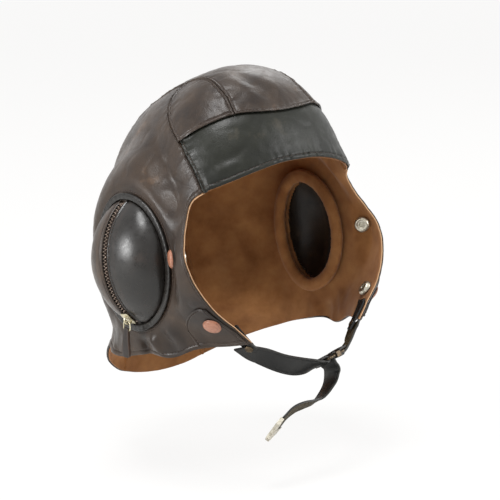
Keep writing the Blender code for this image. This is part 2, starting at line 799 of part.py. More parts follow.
def wire_cutter(name, points, radius):
    """A straight or bent round bar to join or cut with"""
    return add_cutter(name, solid_mesh(curve_part(name, points, radius, METALS["nickel"])))


def build_slider(name, side, turn):
    """Zip slider with its bridge; gives the place of the bridge's eye and the slider's pivot"""
    radius = zip_radius()
    half = 0.5 * SLIDER_LENGTH / radius
    high = SLIDER_LIFT + SLIDER_HEIGHT
    body = arc_bar(
        f"{name}_zip_slider", side, (turn - half, turn + half), SLIDER_WIDTH, SLIDER_LIFT, high,
        METALS["brass"], 4,
    )
    soften = body.modifiers.new("soften", "BEVEL")
    soften.width = 0.3 * SLIDER_HEIGHT
    soften.segments = 1
    soften.limit_method = "ANGLE"
    foot = BRIDGE_REACH / radius
    arch = []
    for step in range(9):
        share = math.pi * step / 8.0
        rise = high - BRIDGE_WIRE + (BRIDGE_RISE + BRIDGE_WIRE) * math.sin(share)
        arch.append(zip_point(side, turn - foot * math.cos(share), 0.0, rise))
    cut(body, wire_cutter(f"{name}_bridge", arch, BRIDGE_WIRE), "UNION")
    _, forward, _ = cup_axes(side)
    pivot = add_pivot(f"{name}_zip_travel", zip_pivot(side), forward * side, [body.name])
    return zip_point(side, turn, 0.0, high + 0.5 * BRIDGE_RISE), pivot


def outline_mesh(name, rows, thickness, matrix):
    """A flat piece cut to an outline, as a closed mesh"""
    outline = bpy.data.curves.new(name, "CURVE")
    outline.dimensions = "2D"
    outline.fill_mode = "BOTH"
    outline.extrude = 0.5 * thickness
    edge = outline.splines.new("POLY")
    edge.points.add(len(rows) - 1)
    for target, (across, rise) in zip(edge.points, rows):
        target.co = (across, rise, 0.0, 1.0)
    edge.use_cyclic_u = True
    piece = bpy.data.objects.new(name, outline)
    PARTS.objects.link(piece)
    piece.matrix_world = matrix
    bpy.context.view_layer.update()
    return solid_mesh(piece)


def axes_matrix(x_axis, y_axis, z_axis, place):
    """World matrix with the given axes and origin"""
    turn = Matrix((x_axis, y_axis, z_axis)).transposed().to_4x4()
    return Matrix.Translation(place) @ turn


def rounded_loop(centre, first, second, half_first, half_second, corner):
    """Points of a rounded rectangle about a centre, between two directions"""
    points = []
    for index in range(4):
        across = 1.0 if index in (0, 3) else -1.0
        along = 1.0 if index in (0, 1) else -1.0
        for step in range(3):
            turn = 0.5 * math.pi * index + 0.25 * math.pi * step
            x = across * (half_first - corner) + corner * math.cos(turn)
            y = along * (half_second - corner) + corner * math.sin(turn)
            points.append(centre + first * x + second * y)
    return points


def build_pull(name, side, eye, carrier):
    """Wire ring through the slider's bridge, and the leather pull that hangs on it"""
    level = Vector((0.0, -1.0, 0.0))
    down = Vector((0.0, 0.0, -1.0))
    outward = Vector((side, 0.0, 0.0))
    half = 0.5 * RING_WIDTH
    middle = eye + down * (0.5 * RING_DROP)
    loop = rounded_loop(middle, level, down, half, 0.5 * RING_DROP, 0.3 * half)
    curve_part(f"{name}_pull_ring", loop, RING_WIRE, METALS["brass"], closed=True)
    bar = eye + down * RING_DROP
    top = 0.5 * PULL_TOP
    wide = 0.5 * PULL_FOOT
    reach = PULL_HEAD - PULL_LENGTH
    rows = (
        (-top, PULL_HEAD), (-top, -PULL_HEAD), (-wide, reach + PULL_HEAD), (-0.8 * wide, reach),
        (0.8 * wide, reach), (wide, reach + PULL_HEAD), (top, -PULL_HEAD), (top, PULL_HEAD),
    )
    matrix = axes_matrix(outward.cross(down), -down, outward, bar)
    mesh = outline_mesh(f"{name}_pull_tab", rows, PULL_THICKNESS, matrix)
    pull = add_part(f"{name}_pull_tab", mesh, LEATHERS["pull"], smooth=False)
    bore = [bar - level * half, bar + level * half]
    cut(pull, wire_cutter(f"{name}_pull_bore", bore, RING_WIRE + FIT_GAP))
    axis = level * side
    ring = add_pivot(f"{name}_ring_swing", eye, axis, [f"{name}_pull_ring"], carrier)
    add_pivot(f"{name}_pull_swing", bar, axis, [pull.name], ring)


def turned_part(name, profile, matrix, material, steps=14):
    """A turned piece: a profile of radius and height run round its axis"""
    bm = bmesh.new()
    row = [bm.verts.new((radius, 0.0, height)) for radius, height in profile]
    for start, end in zip(row, row[1:]):
        bm.edges.new((start, end))
    mesh = bpy.data.meshes.new(name)
    bm.to_mesh(mesh)
    bm.free()
    part = add_part(name, mesh, material, smooth=False)
    screw = part.modifiers.new("turn", "SCREW")
    screw.axis = "Z"
    screw.steps = steps
    screw.render_steps = steps
    screw.use_merge_vertices = True
    screw.merge_threshold = FIT_GAP / 10.0
    screw.use_smooth_shade = True
    part.matrix_world = matrix
    return part


def seat_matrix(point, radius, lift, inside=False, sag=PANEL_SAG):
    """Matrix of a round piece seated on the leather's outside, or on the lining inside"""
    normal = outward_at(point, max(radius, LEATHER))
    first = normal.orthogonal().normalized()
    second = normal.cross(first)
    heights = [0.0]
    for step in range(24):
        turn = math.tau * step / 12.0
        reach = radius if step < 12 else 0.5 * radius
        rim = point + (first * math.cos(turn) + second * math.sin(turn)) * reach
        heights.append((on_form(rim) - point).dot(normal))
    if inside:
        return axes_matrix(second, first, -normal, point + normal * (min(heights) - lift - sag))
    return axes_matrix(first, second, normal, point + normal * (max(heights) + lift + sag))


def cap_profile(width, height):
    """Domed cap: radius and height, from the top down its outer side"""
    radius = 0.5 * width
    dome = [
        (radius * math.sin(turn), CAP_LIP + (height - CAP_LIP) * math.cos(turn))
        for turn in (0.0, 0.4, 0.8, 1.15, 0.5 * math.pi)
    ]
    return dome + [(0.94 * radius, 0.0), (0.0, 0.0)]


def stud_profile():
    """Snap stud: a rim and a knob, from the top down"""
    knob = 0.5 * STUD_KNOB
    rim = 0.5 * STUD_WIDTH
    return [
        (0.0, STUD_HEIGHT), (0.8 * knob, STUD_HEIGHT), (knob, 0.8 * STUD_HEIGHT),
        (knob, STUD_RIM), (rim, 0.7 * STUD_RIM), (rim, 0.0), (0.0, 0.0),
    ]


def rivet_profile(reach):
    """Domed rivet over the strap, its shank through strap and root, and its washer"""
    head = 0.5 * RIVET_HEAD
    shank = 0.5 * RIVET_SHANK
    washer = 0.5 * RIVET_WASHER
    return [
        (0.0, RIVET_RISE), (0.6 * head, 0.8 * RIVET_RISE), (head, 0.2 * RIVET_RISE),
        (head, 0.0), (shank, 0.0), (shank, -reach), (washer, -reach),
        (washer, -reach - RIVET_FOOT), (0.0, -reach - RIVET_FOOT),
    ]


def socket_profile():
    """Ring socket with its recess"""
    radius = 0.5 * SOCKET_WIDTH
    bore = 0.5 * SOCKET_BORE
    top = SOCKET_HEIGHT
    return [
        (0.0, top - SOCKET_DEPTH), (bore, top - SOCKET_DEPTH), (bore, top),
        (0.8 * radius, top), (radius, 0.5 * top), (radius, 0.0), (0.0, 0.0),
    ]


def build_mask_snaps():
    """Enamelled caps outside and nickel sockets inside, two to a side"""
    inside = LEATHER + LINING_GAP + LINING + FIT_GAP
    for name, side in SIDES.items():
        for place, (angle, level) in MASK_SNAP_SHARES.items():
            point = head_point(side * angle, level)
            over, sag = FIT_GAP, PANEL_SAG
            if place == "lower":
                over, sag = PATCH + PATCH_GAP + FIT_GAP, 0.0
            seat = seat_matrix(point, 0.5 * CAP_WIDTH, over, sag=sag)
            turned_part(f"{name}_{place}_snap_cap", cap_profile(CAP_WIDTH, CAP_HEIGHT), seat,
                        METALS["enamel"])
            seat = seat_matrix(point, 0.5 * SOCKET_WIDTH, inside, inside=True)
            turned_part(f"{name}_{place}_snap_socket", socket_profile(), seat, METALS["nickel"])


def build_cheeks():
    """Sewn patch outside and strap root inside each cheek"""
    inside = LEATHER + LINING_GAP + LINING + FIT_GAP
    for name, side in SIDES.items():
        edges = (
            seam(PATCH_FOOT_SHARES, side), seam(PATCH_TOP_SHARES, side),
            seam(PATCH_FACE_SHARES, side), seam(PATCH_REAR_SHARES, side),
        )
        add_panel(f"{name}_cheek_patch", edges, *PATCH_GRID, LEATHERS["outer"],
                  -PATCH_GAP - PATCH, PATCH)
        edges = (
            seam(ROOT_FOOT_SHARES, side), seam(ROOT_TOP_SHARES, side),
            seam(ROOT_FACE_SHARES, side), seam(ROOT_REAR_SHARES, side),
        )
        add_panel(f"{name}_strap_root", edges, *ROOT_GRID, LEATHERS["strap"],
                  inside, ROOT_THICKNESS)


def strap_seat(side):
    """The strap's middle by the flap's corner, and the run, width and outward directions there"""
    point = head_point(side * STRAP_HEM_SHARES[0], STRAP_HEM_SHARES[1])
    normal = outward_at(point)
    leave = head_point(side * STRAP_LEAVE_SHARES[0], STRAP_LEAVE_SHARES[1]) - point
    run = (leave - normal * leave.dot(normal)).normalized()
    root_face = LEATHER + LINING_GAP + LINING + FIT_GAP
    depth = root_face - STRAP_LIFT - FIT_GAP - 0.5 * STRAP_THICKNESS
    wide = normal.cross(run)
    return point - normal * depth, run, wide if wide.y > 0.0 else -wide, normal


def ribbon_row(place, wide):
    """One station of a ribbon: its centre and its width direction as six numbers"""
    return (*place, *wide)


def turned_width(angle):
    """Width direction of a strap, tilted from level by an angle"""
    turn = math.radians(angle)
    return Vector((0.0, math.cos(turn), -math.sin(turn)))


def strap_rows():
    """Stations of the chin strap from the right hem to the left hem"""
    rows = []
    seat, run, _, _ = strap_seat(SIDES["left"])
    settled = seat + run * STRAP_START
    settled -= Vector((STRAP_SETTLE_IN, STRAP_SETTLE_FORWARD, STRAP_SETTLE_DOWN))
    for place, angle in zip(STRAP_RUN_SHARES, STRAP_TURN_ANGLES):
        across, forward, down = place
        centre = Vector((
            across * settled.x, settled.y - forward * STRAP_BOW, settled.z - down * STRAP_SAG,
        ))
        rows.append(ribbon_row(centre, turned_width(angle)))
    for name, side in SIDES.items():
        centre, run, wide, _ = strap_seat(side)
        ends = [ribbon_row(centre, wide), ribbon_row(centre + run * STRAP_START, wide)]
        rows = ends + rows if name == "right" else rows + ends[::-1]
    return rows


def ribbon_at(rows, share):
    """Centre, run, width and outward directions of a ribbon at a share of its length"""
    step = 0.01
    here = through(rows, share)
    centre = Vector(here[:3])
    ahead = Vector(through(rows, share + step)[:3]) - Vector(through(rows, share - step)[:3])
    run = ahead.normalized()
    wide = Vector(here[3:])
    wide = (wide - run * wide.dot(run)).normalized()
    out = run.cross(wide)
    return centre, run, wide, out if out.z < 0.0 else -out


def stretch(rows, start, end, steps):
    """Centres and widths along part of a ribbon"""
    found = []
    for step in range(steps + 1):
        centre, _, wide, _ = ribbon_at(rows, start + (end - start) * step / steps)
        found.append((centre, wide * (0.5 * STRAP_WIDTH)))
    return found


def fold_round(bar, first, second, wide, radius, turns, steps=6):
    """Centres and widths of a fold round a bar, between two directions"""
    start, end = turns
    found = []
    for step in range(steps + 1):
        turn = start + (end - start) * step / steps
        place = bar + (first * math.cos(turn) + second * math.sin(turn)) * radius
        found.append((place, wide * (0.5 * STRAP_WIDTH)))
    return found


def add_ribbon(name, stations, material):
    """A flat strap through a row of centres and half widths"""
    def place(along, across):
        centre, half = stations[round(along * (len(stations) - 1))]
        return centre + half * (2.0 * across - 1.0)

    mesh = grid_mesh(name, len(stations) - 1, 1, place, Vector((0.0, 0.0, 0.0)))
    part = add_part(name, mesh, material)
    add_wall(part, STRAP_THICKNESS, 0.0)
    return part


def skew_end(stations, side):
    """Cut the strap's end along the hem"""
    angle, level = STRAP_HEM_SHARES
    step = 1.0
    hem_way = head_point(side * (angle - step), level) - head_point(side * (angle + step), level)
    hem_way.normalize()
    _, half = stations[0]
    run = (stations[1][0] - stations[0][0]).normalized()
    slope = hem_way - run * hem_way.dot(run)
    grown = hem_way * (half.length / slope.length)
    if grown.dot(half) < 0.0:
        grown = -grown
    stations[0] = (stations[0][0], grown)
    return stations


def build_rivets():
    """Rivets through the strap and its sewn roots; gives their hole cutters"""
    holes = {}
    for name, side in SIDES.items():
        centre, run, wide, normal = strap_seat(side)
        centre += run * RIVET_ALONG - wide * RIVET_ASIDE
        base = centre + normal * (0.5 * STRAP_THICKNESS + FIT_GAP)
        reach = 2.0 * FIT_GAP + STRAP_THICKNESS + STRAP_LIFT + FIT_GAP + ROOT_THICKNESS + LINING
        first = normal.orthogonal().normalized()
        matrix = axes_matrix(first, normal.cross(first), normal, base)
        turned_part(f"{name}_strap_rivet", rivet_profile(reach), matrix, METALS["bronze"], 12)
        bore = [centre - normal * 2.0 * reach, centre + normal * 2.0 * reach]
        holes[name] = wire_cutter(f"{name}_rivet_bore", bore, 0.5 * RIVET_SHANK + FIT_GAP)
    return holes


def build_strap():
    """Chin strap with its rivets, buckle and sliding bar"""
    rows = strap_rows()
    line, run, wide, out = ribbon_at(rows, BUCKLE_RUN_SHARE)
    fold = BUCKLE_WIRE + FIT_GAP + 0.5 * STRAP_THICKNESS
    middle = line - out * fold
    half = 0.5 * BUCKLE_LENGTH
    length = sum(
        (Vector(there[:3]) - Vector(here[:3])).length for here, there in zip(rows, rows[1:])
    )
    half_share = half / length
    holes = build_rivets()
    ends = {"right": (0.0, BUCKLE_RUN_SHARE - half_share, "chin_strap", 18)}
    ends["left"] = (1.0, BUCKLE_RUN_SHARE + half_share, "buckle_strap", 12)
    for name, (start, end, strap_name, steps) in ends.items():
        side = SIDES[name]
        bar = middle + run * (side * half)
        stations = skew_end(stretch(rows, start, end, steps), side)[:-1]
        stations += fold_round(bar, out, run * -side, wide, fold, (0.0, math.pi))
        tuck = run * (side * FOLD_LENGTH)
        stations.append((bar - out * (fold + FIT_GAP) + tuck, wide * (0.5 * STRAP_WIDTH)))
        strap = add_ribbon(strap_name, stations, LEATHERS["strap"])
        cut(strap, holes[name])
        cut(bpy.data.objects[f"{name}_strap_root"], holes[name])
    reach = 0.5 * (STRAP_WIDTH + ROLLER_BLOCK) + 3.0 * FIT_GAP
    loop = rounded_loop(middle, run, wide, half, reach, 2.0 * BUCKLE_WIRE)
    curve_part("buckle_frame", loop, BUCKLE_WIRE, METALS["bronze"], closed=True)
    build_roller(middle, run, wide, out, reach)
    build_tail(middle, run, wide, out)
    bar = add_pivot("buckle_adjust", middle, run, ["buckle_roller"])
    add_pivot("strap_end_swing", middle, wide, ["strap_tail", "strap_tip"], bar)


def build_roller(middle, run, wide, out, reach):
    """Sliding bar whose end blocks run on the buckle's rails"""
    bar = curve_part("buckle_bar", [middle - wide * reach, middle + wide * reach], ROLLER_WIRE,
                     METALS["bronze"])
    roller = add_part("buckle_roller", solid_mesh(bar), METALS["bronze"], smooth=False)
    turn = axes_matrix(run, wide, out, Vector((0.0, 0.0, 0.0)))
    for end in (-1.0, 1.0):
        place = middle + wide * (end * reach)
        bpy.ops.mesh.primitive_cube_add(size=ROLLER_BLOCK)
        block = bpy.context.object
        mesh = block.data
        mesh.transform(Matrix.Translation(place) @ turn)
        bpy.data.objects.remove(block, do_unlink=True)
        cut(roller, add_cutter(f"roller_block_{end:+.0f}", mesh), "UNION")
    for end in (-1.0, 1.0):
        place = middle + wide * (end * reach)
        bore = [place - run * ROLLER_BLOCK, place + run * ROLLER_BLOCK]
        cut(roller, wire_cutter(f"roller_bore_{end:+.0f}", bore, BUCKLE_WIRE + FIT_GAP))


def tail_rows(start, wide, out):
    """Stations of the strap's free end, which leaves the sliding bar square to the buckle"""
    rows = [ribbon_row(start, wide)]
    start = start + out * ROLLER_BLOCK
    for (across, down), angle in zip(TAIL_RUN_SHARES, TAIL_TURN_ANGLES):
        place = start + Vector((across * TAIL_SWAY, 0.0, -down * TAIL_DROP))
        rows.append(ribbon_row(place, turned_width(angle)))
    return rows


def build_tail(middle, run, wide, out):
    """Free end of the strap, folded over the sliding bar, and its notched metal tip"""
    fold = ROLLER_WIRE + FIT_GAP + 0.5 * STRAP_THICKNESS
    stations = fold_round(middle, run, -out, wide, fold, (-0.15 * math.pi, math.pi))
    rows = tail_rows(middle - run * (fold + FIT_GAP), wide, out)
    stations += stretch(rows, TAIL_START_SHARE, TIP_START_SHARE, 16)
    centre, along, across, face = ribbon_at(rows, TIP_START_SHARE)
    half = 0.5 * STRAP_WIDTH + TIP_OVERHANG
    point = half - TIP_PRONG - FIT_GAP - TIP_OVERHANG
    stations.append((centre + along * FIT_GAP, across * point))
    end = TIP_NOTCH - 2.0 * FIT_GAP
    stations.append((centre + along * end, across * (FIT_GAP + 0.1 * point)))
    add_ribbon("strap_tail", stations, LEATHERS["strap"])

    tip_gap = 3.0 * FIT_GAP
    notch = [(-half + TIP_PRONG, 0.0), (0.0, -TIP_NOTCH - tip_gap), (half - TIP_PRONG, 0.0)]
    right_edge = [(half * share, -TIP_LENGTH * drop) for share, drop in TIP_SHARES]
    left_edge = [(-x, y) for x, y in reversed(right_edge)]
    matrix = axes_matrix(across, -along, across.cross(-along), centre + along * tip_gap)
    mesh = outline_mesh("strap_tip", notch + right_edge + left_edge, TIP_THICKNESS, matrix)
    add_part("strap_tip", mesh, METALS["nickel"], smooth=False)


def tab_lift(share, fit):
    """Height of a tab's inner face over the leather at a share of its length"""
    stud = ease(share, *TAB_SEAT_SHARES) * (STUD_HEIGHT + FIT_GAP)
    bow = TAB_RISE * math.sin(math.pi * min(share / TAB_BOW_SHARE, 1.0)) ** 1.5
    return fit + stud + bow


def build_tabs():
    """Snap tabs at the back that hold the goggle strap and the lead"""
    for name, angle in TAB_ANGLES.items():
        point = head_point(angle, TAB_LEVEL_SHARES[name])
        normal = outward_at(point)
        down = Vector((0.0, 0.0, -1.0))
        down = (down - normal * down.dot(normal)).normalized()
        wide = normal.cross(down)

        fit = TAB_FITS[name]

        def place(along, across, point=point, normal=normal, down=down, wide=wide, fit=fit):
            spine = point + down * (TAB_LENGTH * along)
            corner = 0.75 if along > 0.99 else 1.0
            step = wide * (TAB_WIDTH * corner * (across - 0.5))
            rise = (on_form(spine) - spine).dot(normal)
            return spine + step + normal * (rise + tab_lift(along, fit))

        part = add_part(name, grid_mesh(name, *TAB_GRID, place), LEATHERS["strap"])
        add_wall(part, TAB_THICKNESS, 1.0)
        foot = on_form(point + down * (TAB_FOOT_SHARE * TAB_LENGTH))
        seat = seat_matrix(foot, 0.5 * STUD_WIDTH, 0.0, sag=STUD_FIT_SHARE * fit)
        turned_part(f"{name}_stud", stud_profile(), seat, METALS["nickel"], 12)
        reach = 0.5 * TAB_CAP_WIDTH / TAB_LENGTH
        slope = place(TAB_FOOT_SHARE + reach, 0.5) - place(TAB_FOOT_SHARE - reach, 0.5)
        outward = slope.cross(wide).normalized()
        outward = outward if outward.dot(normal) > 0.0 else -outward
        middle = place(TAB_FOOT_SHARE, 0.5) + outward * (TAB_THICKNESS + 2.0 * FIT_GAP)
        seat = axes_matrix(wide, outward.cross(wide), outward, middle)
        turned_part(f"{name}_cap", cap_profile(TAB_CAP_WIDTH, CAP_HEIGHT), seat,
                    METALS["enamel"])
        root = place(0.0, 0.5)
        add_pivot(f"{name}_open", root, wide, [name, f"{name}_cap"])


def build_ears():
    """Ear cups, welts, zips and the pads inside"""
    half_turn = math.asin(ZIP_END_SHARE * CUP_LONG / zip_radius())
    for name, side in SIDES.items():
        dome_half(f"{name}_ear_cup_front", side, True, LEATHERS["band"])
        dome_half(f"{name}_ear_cup_rear", side, False, LEATHERS["outer"])
        egg_ring(
            f"{name}_ear_cup_welt", side, 0.5 * WELT_WIDTH + FIT_GAP, 0.5 * WELT_WIDTH,
            FIT_GAP, WELT_HEIGHT, LEATHERS["outer"],
        )
        inner = LEATHER + LINING_GAP + LINING + FIT_GAP
        egg_ring(
            f"{name}_ear_pad", side, PAD_GROW, 0.5 * PAD_WIDTH, -inner - PAD_HEIGHT,
            PAD_HEIGHT, LEATHERS["lining"], 30, 7,
        )
        chain = arc_bar(
            f"{name}_zip_chain", side, (-half_turn, half_turn), TAPE_WIDTH,
            -TAPE_DEPTH - TAPE_THICKNESS, -TAPE_DEPTH, METALS["copper"], 20,
        )
        cut(chain, zip_teeth(f"{name}_zip_teeth", side, half_turn), "UNION")
        rest = -(half_turn - (STOP_LENGTH + 0.5 * SLIDER_LENGTH) / zip_radius())
        eye, carrier = build_slider(name, side, rest)
        build_pull(name, side, eye, carrier)


def make_materials():
    """Materials of the leather and hardware"""
    leathers = {
        "outer": make_material("aged_goatskin", (0.030, 0.024, 0.021), 0.55),
        "band": make_material("band_goatskin", (0.020, 0.021, 0.019), 0.50),
        "lining": make_material("chamois_lining", (0.32, 0.17, 0.08), 0.90),
        "strap": make_material("strap_leather", (0.014, 0.014, 0.013), 0.45),
        "pull": make_material("pull_leather", (0.045, 0.022, 0.014), 0.60),
    }
    metals = {
        "brass": make_material("lacquered_brass", (0.55, 0.42, 0.18), 0.35, 1.0),
        "copper": make_material("bronzed_zip_teeth", (0.26, 0.15, 0.08), 0.40, 1.0),
        "bronze": make_material("dark_bronze", (0.12, 0.085, 0.05), 0.42, 1.0),
        "nickel": make_material("nickel_plate", (0.62, 0.60, 0.55), 0.30, 1.0),
        "enamel": make_material("russet_enamel", (0.33, 0.12, 0.07), 0.40),
    }
    return leathers, metals


PARTS, CUTTERS = clear_scene()
LEATHERS, METALS = make_materials()
build_shell()
build_ears()
build_cheeks()
build_mask_snaps()
build_strap()
build_tabs()
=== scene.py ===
"""Looks of a leather flying helmet: sewn goatskin over a chamois lining, zipped ear cups, snaps,
a chin strap with a friction buckle, and three snap tabs at the back.

Metres, +Z up. The face looks towards -Y and the wearer's right is -X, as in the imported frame.
"""

import json
import logging
import math
from dataclasses import dataclass
from enum import Enum
from typing import Callable, Optional, Sequence

import bpy
import numpy as np
from mathutils import Matrix, Vector, noise

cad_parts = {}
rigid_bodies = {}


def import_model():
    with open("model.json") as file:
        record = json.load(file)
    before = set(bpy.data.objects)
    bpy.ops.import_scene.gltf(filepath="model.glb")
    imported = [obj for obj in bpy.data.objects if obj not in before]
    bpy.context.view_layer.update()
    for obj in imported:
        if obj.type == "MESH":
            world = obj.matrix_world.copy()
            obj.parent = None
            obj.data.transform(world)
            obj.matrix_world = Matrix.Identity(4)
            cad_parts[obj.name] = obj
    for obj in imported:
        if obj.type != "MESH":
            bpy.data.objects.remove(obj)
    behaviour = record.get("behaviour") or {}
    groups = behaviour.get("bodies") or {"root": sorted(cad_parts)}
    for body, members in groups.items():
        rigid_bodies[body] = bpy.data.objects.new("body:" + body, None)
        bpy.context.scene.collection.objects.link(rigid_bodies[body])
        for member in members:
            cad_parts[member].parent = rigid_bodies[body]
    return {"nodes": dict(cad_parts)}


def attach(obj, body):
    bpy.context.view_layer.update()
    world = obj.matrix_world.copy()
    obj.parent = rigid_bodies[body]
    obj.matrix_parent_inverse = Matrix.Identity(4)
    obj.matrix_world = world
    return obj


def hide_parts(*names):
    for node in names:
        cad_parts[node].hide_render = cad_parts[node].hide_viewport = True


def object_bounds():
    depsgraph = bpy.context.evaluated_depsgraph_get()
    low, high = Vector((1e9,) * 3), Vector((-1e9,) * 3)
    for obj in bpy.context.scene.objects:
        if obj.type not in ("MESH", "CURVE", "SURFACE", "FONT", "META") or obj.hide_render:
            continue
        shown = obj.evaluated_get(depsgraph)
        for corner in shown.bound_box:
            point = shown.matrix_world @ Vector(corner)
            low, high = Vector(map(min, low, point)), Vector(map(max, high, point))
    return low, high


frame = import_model()
CAD_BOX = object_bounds()

LOG = logging.getLogger("flying_helmet")
MM = 0.001
SIDES = {"right": -1.0, "left": 1.0}
ROOT = "helmet"
DOWN = np.array((0.0, 0.0, -1.0))
Array = np.ndarray
Arrays = tuple[Array, ...]
Line = Callable[[Array], Array]
Lines = tuple[Line, ...]
Outputs = bpy.types.bpy_prop_collection
Piece = bpy.types.Object
Rows = Sequence[tuple[float, float]]
Sizes = tuple[float, ...]
Tree = bpy.types.NodeTree


class Edge(Enum):
    """The four edges of a cut panel"""

    FOOT = "foot"
    TOP = "top"
    LEFT = "left"
    RIGHT = "right"


class Slot(Enum):
    """Material slots of the record"""

    HELMET = "helmet_leather"
    BAND = "band_leather"
    CHAMOIS = "chamois"
    STRAP = "strap_leather"
    PULL = "pull_leather"
    TEETH = "zip_teeth"
    BRASS = "brass"
    BRONZE = "dark_bronze"
    NICKEL = "nickel"
    ENAMEL = "enamel"


def linear(code: str) -> tuple[float, float, float, float]:
    """Turn an sRGB hex value to linear colour

    Args:
        code: six hex digits

    Returns:
        red, green, blue and full alpha
    """
    values = []
    for place in (0, 2, 4):
        value = int(code[place:place + 2], 16) / 255.0
        values.append(value / 12.92 if value <= 0.04045 else ((value + 0.055) / 1.055) ** 2.4)
    return (*values, 1.0)


def set_inputs(tree: Tree, node: bpy.types.Node, values: dict) -> None:
    """Set or link a node's inputs

    Args:
        tree: the material's node tree
        node: the node
        values: input names, each with a value or an output socket
    """
    for name, value in values.items():
        if isinstance(value, bpy.types.NodeSocket):
            tree.links.new(value, node.inputs[name])
        else:
            node.inputs[name].default_value = value


def add_node(tree: Tree, kind: str, values: Optional[dict] = None,
             stops: Sequence[tuple[float, str]] = (), **settings) -> bpy.types.Node:
    """Add a shader node with its settings, values and links

    Args:
        tree: the material's node tree
        kind: the node's type, without its leading word
        values: input names, each with a value or an output socket
        stops: a colour ramp's places from 0 to 1, each with six hex digits
        settings: the node's own properties

    Returns:
        the new node
    """
    node = tree.nodes.new(f"ShaderNode{kind}")
    for name, value in settings.items():
        setattr(node, name, value)
    if stops:
        marks = node.color_ramp.elements
        while len(marks) < len(stops):
            marks.new(0.5)
        for mark, (place, code) in zip(marks, stops):
            mark.position = place
            mark.color = linear(code)
    set_inputs(tree, node, values or {})
    return node


def per_mm(size: float) -> float:
    """Texture scale, in features to a metre, of a feature that is so many millimetres wide"""
    return 1.0 / (size * MM)


@dataclass(frozen=True)
class Finish:
    """What all finishes have: a name, their slot in the record, and a Principled shader that
    their own patterns drive"""

    name: str
    slot: Slot

    def look(self, tree: Tree, places: Outputs) -> dict:
        """Lay out the patterns

        Args:
            tree: the material's node tree
            places: outputs of its Texture Coordinate node

        Returns:
            the shader's inputs, each with a value or an output socket
        """
        raise NotImplementedError

    def make(self) -> bpy.types.Material:
        """Make the material

        Returns:
            the material
        """
        material = bpy.data.materials.new(self.name)
        material.use_nodes = True
        tree = material.node_tree
        values = self.look(tree, add_node(tree, "TexCoord").outputs)
        set_inputs(tree, tree.nodes["Principled BSDF"], values)
        return material


@dataclass(frozen=True)
class Goatskin(Finish):
    """Chrome tanned goatskin, dyed through and finished with wax: pebbled grain, a soft gloss,
    paler and browner where it is worn at the seams and ridges, darker in the valleys, and paler
    in a painted highlight band beside each ear cup's zip"""

    dark: str
    body: str
    rubbed_and_highlight: str
    gloss: float = 0.42
    grain: float = 1.1
    relief: float = 0.34
    bloom: float = 0.12
    shine: float = 0.30

    def look(self, tree: Tree, places: Outputs) -> dict:
        """Cloudy dye under a pebbled grain, paler where the wear_and_highlight attribute says:
        worn places, and a painted highlight beside the ear cups' zips

        Args:
            tree: the material's node tree
            places: outputs of its Texture Coordinate node

        Returns:
            the shader's inputs, each with a value or an output socket
        """
        wear_and_highlight = add_node(tree, "Attribute", attribute_name="wear_and_highlight").outputs["Fac"]
        cloud, flecks, creases = (add_node(tree, "TexNoise", {
            "Vector": places["Object"], "Scale": per_mm(size), "Detail": detail,
            "Roughness": rough, "Distortion": bend,
        }).outputs["Fac"] for size, detail, rough, bend in (
            (28.0, 4.0, 0.6, 0.0), (5.0, 5.0, 0.65, 0.0), (3.2, 6.0, 0.7, 0.4),
        ))
        tone = add_node(tree, "ValToRGB", {"Fac": cloud}, (
            (0.30, self.dark), (0.62, self.body), (0.80, self.rubbed_and_highlight),
        )).outputs["Color"]
        # pale_share: worn places, and beside the ear cups' zips a painted highlight
        pale_share = add_node(tree, "Math", {0: wear_and_highlight, 1: flecks}, operation="MULTIPLY").outputs[0]
        pale_share = add_node(tree, "MapRange", {
            "Value": pale_share, "From Min": 0.18, "From Max": 0.62, "To Min": 0.0, "To Max": 0.5,
        }).outputs["Result"]
        cells = add_node(tree, "TexVoronoi", {
            "Vector": places["Object"], "Scale": per_mm(self.grain), "Randomness": 1.0,
        }, feature="F1").outputs["Distance"]
        grain = add_node(tree, "Math", {0: cells, 1: 0.6, 2: creases}, operation="MULTIPLY_ADD")
        return {
            "Base Color": add_node(tree, "Mix", {
                "Factor": pale_share, 6: tone, 7: linear(self.rubbed_and_highlight),
            }, data_type="RGBA").outputs[2],
            "Roughness": add_node(tree, "MapRange", {
                "Value": flecks, "From Min": 0.3, "From Max": 0.7,
                "To Min": self.gloss - 0.06, "To Max": self.gloss + 0.12,
            }).outputs["Result"],
            "Normal": add_node(tree, "Bump", {
                "Height": grain.outputs[0], "Strength": self.relief, "Distance": 0.35 * MM,
            }).outputs["Normal"],
            "Sheen Weight": self.bloom, "Sheen Roughness": 0.35,
            "Specular IOR Level": self.shine,
        }


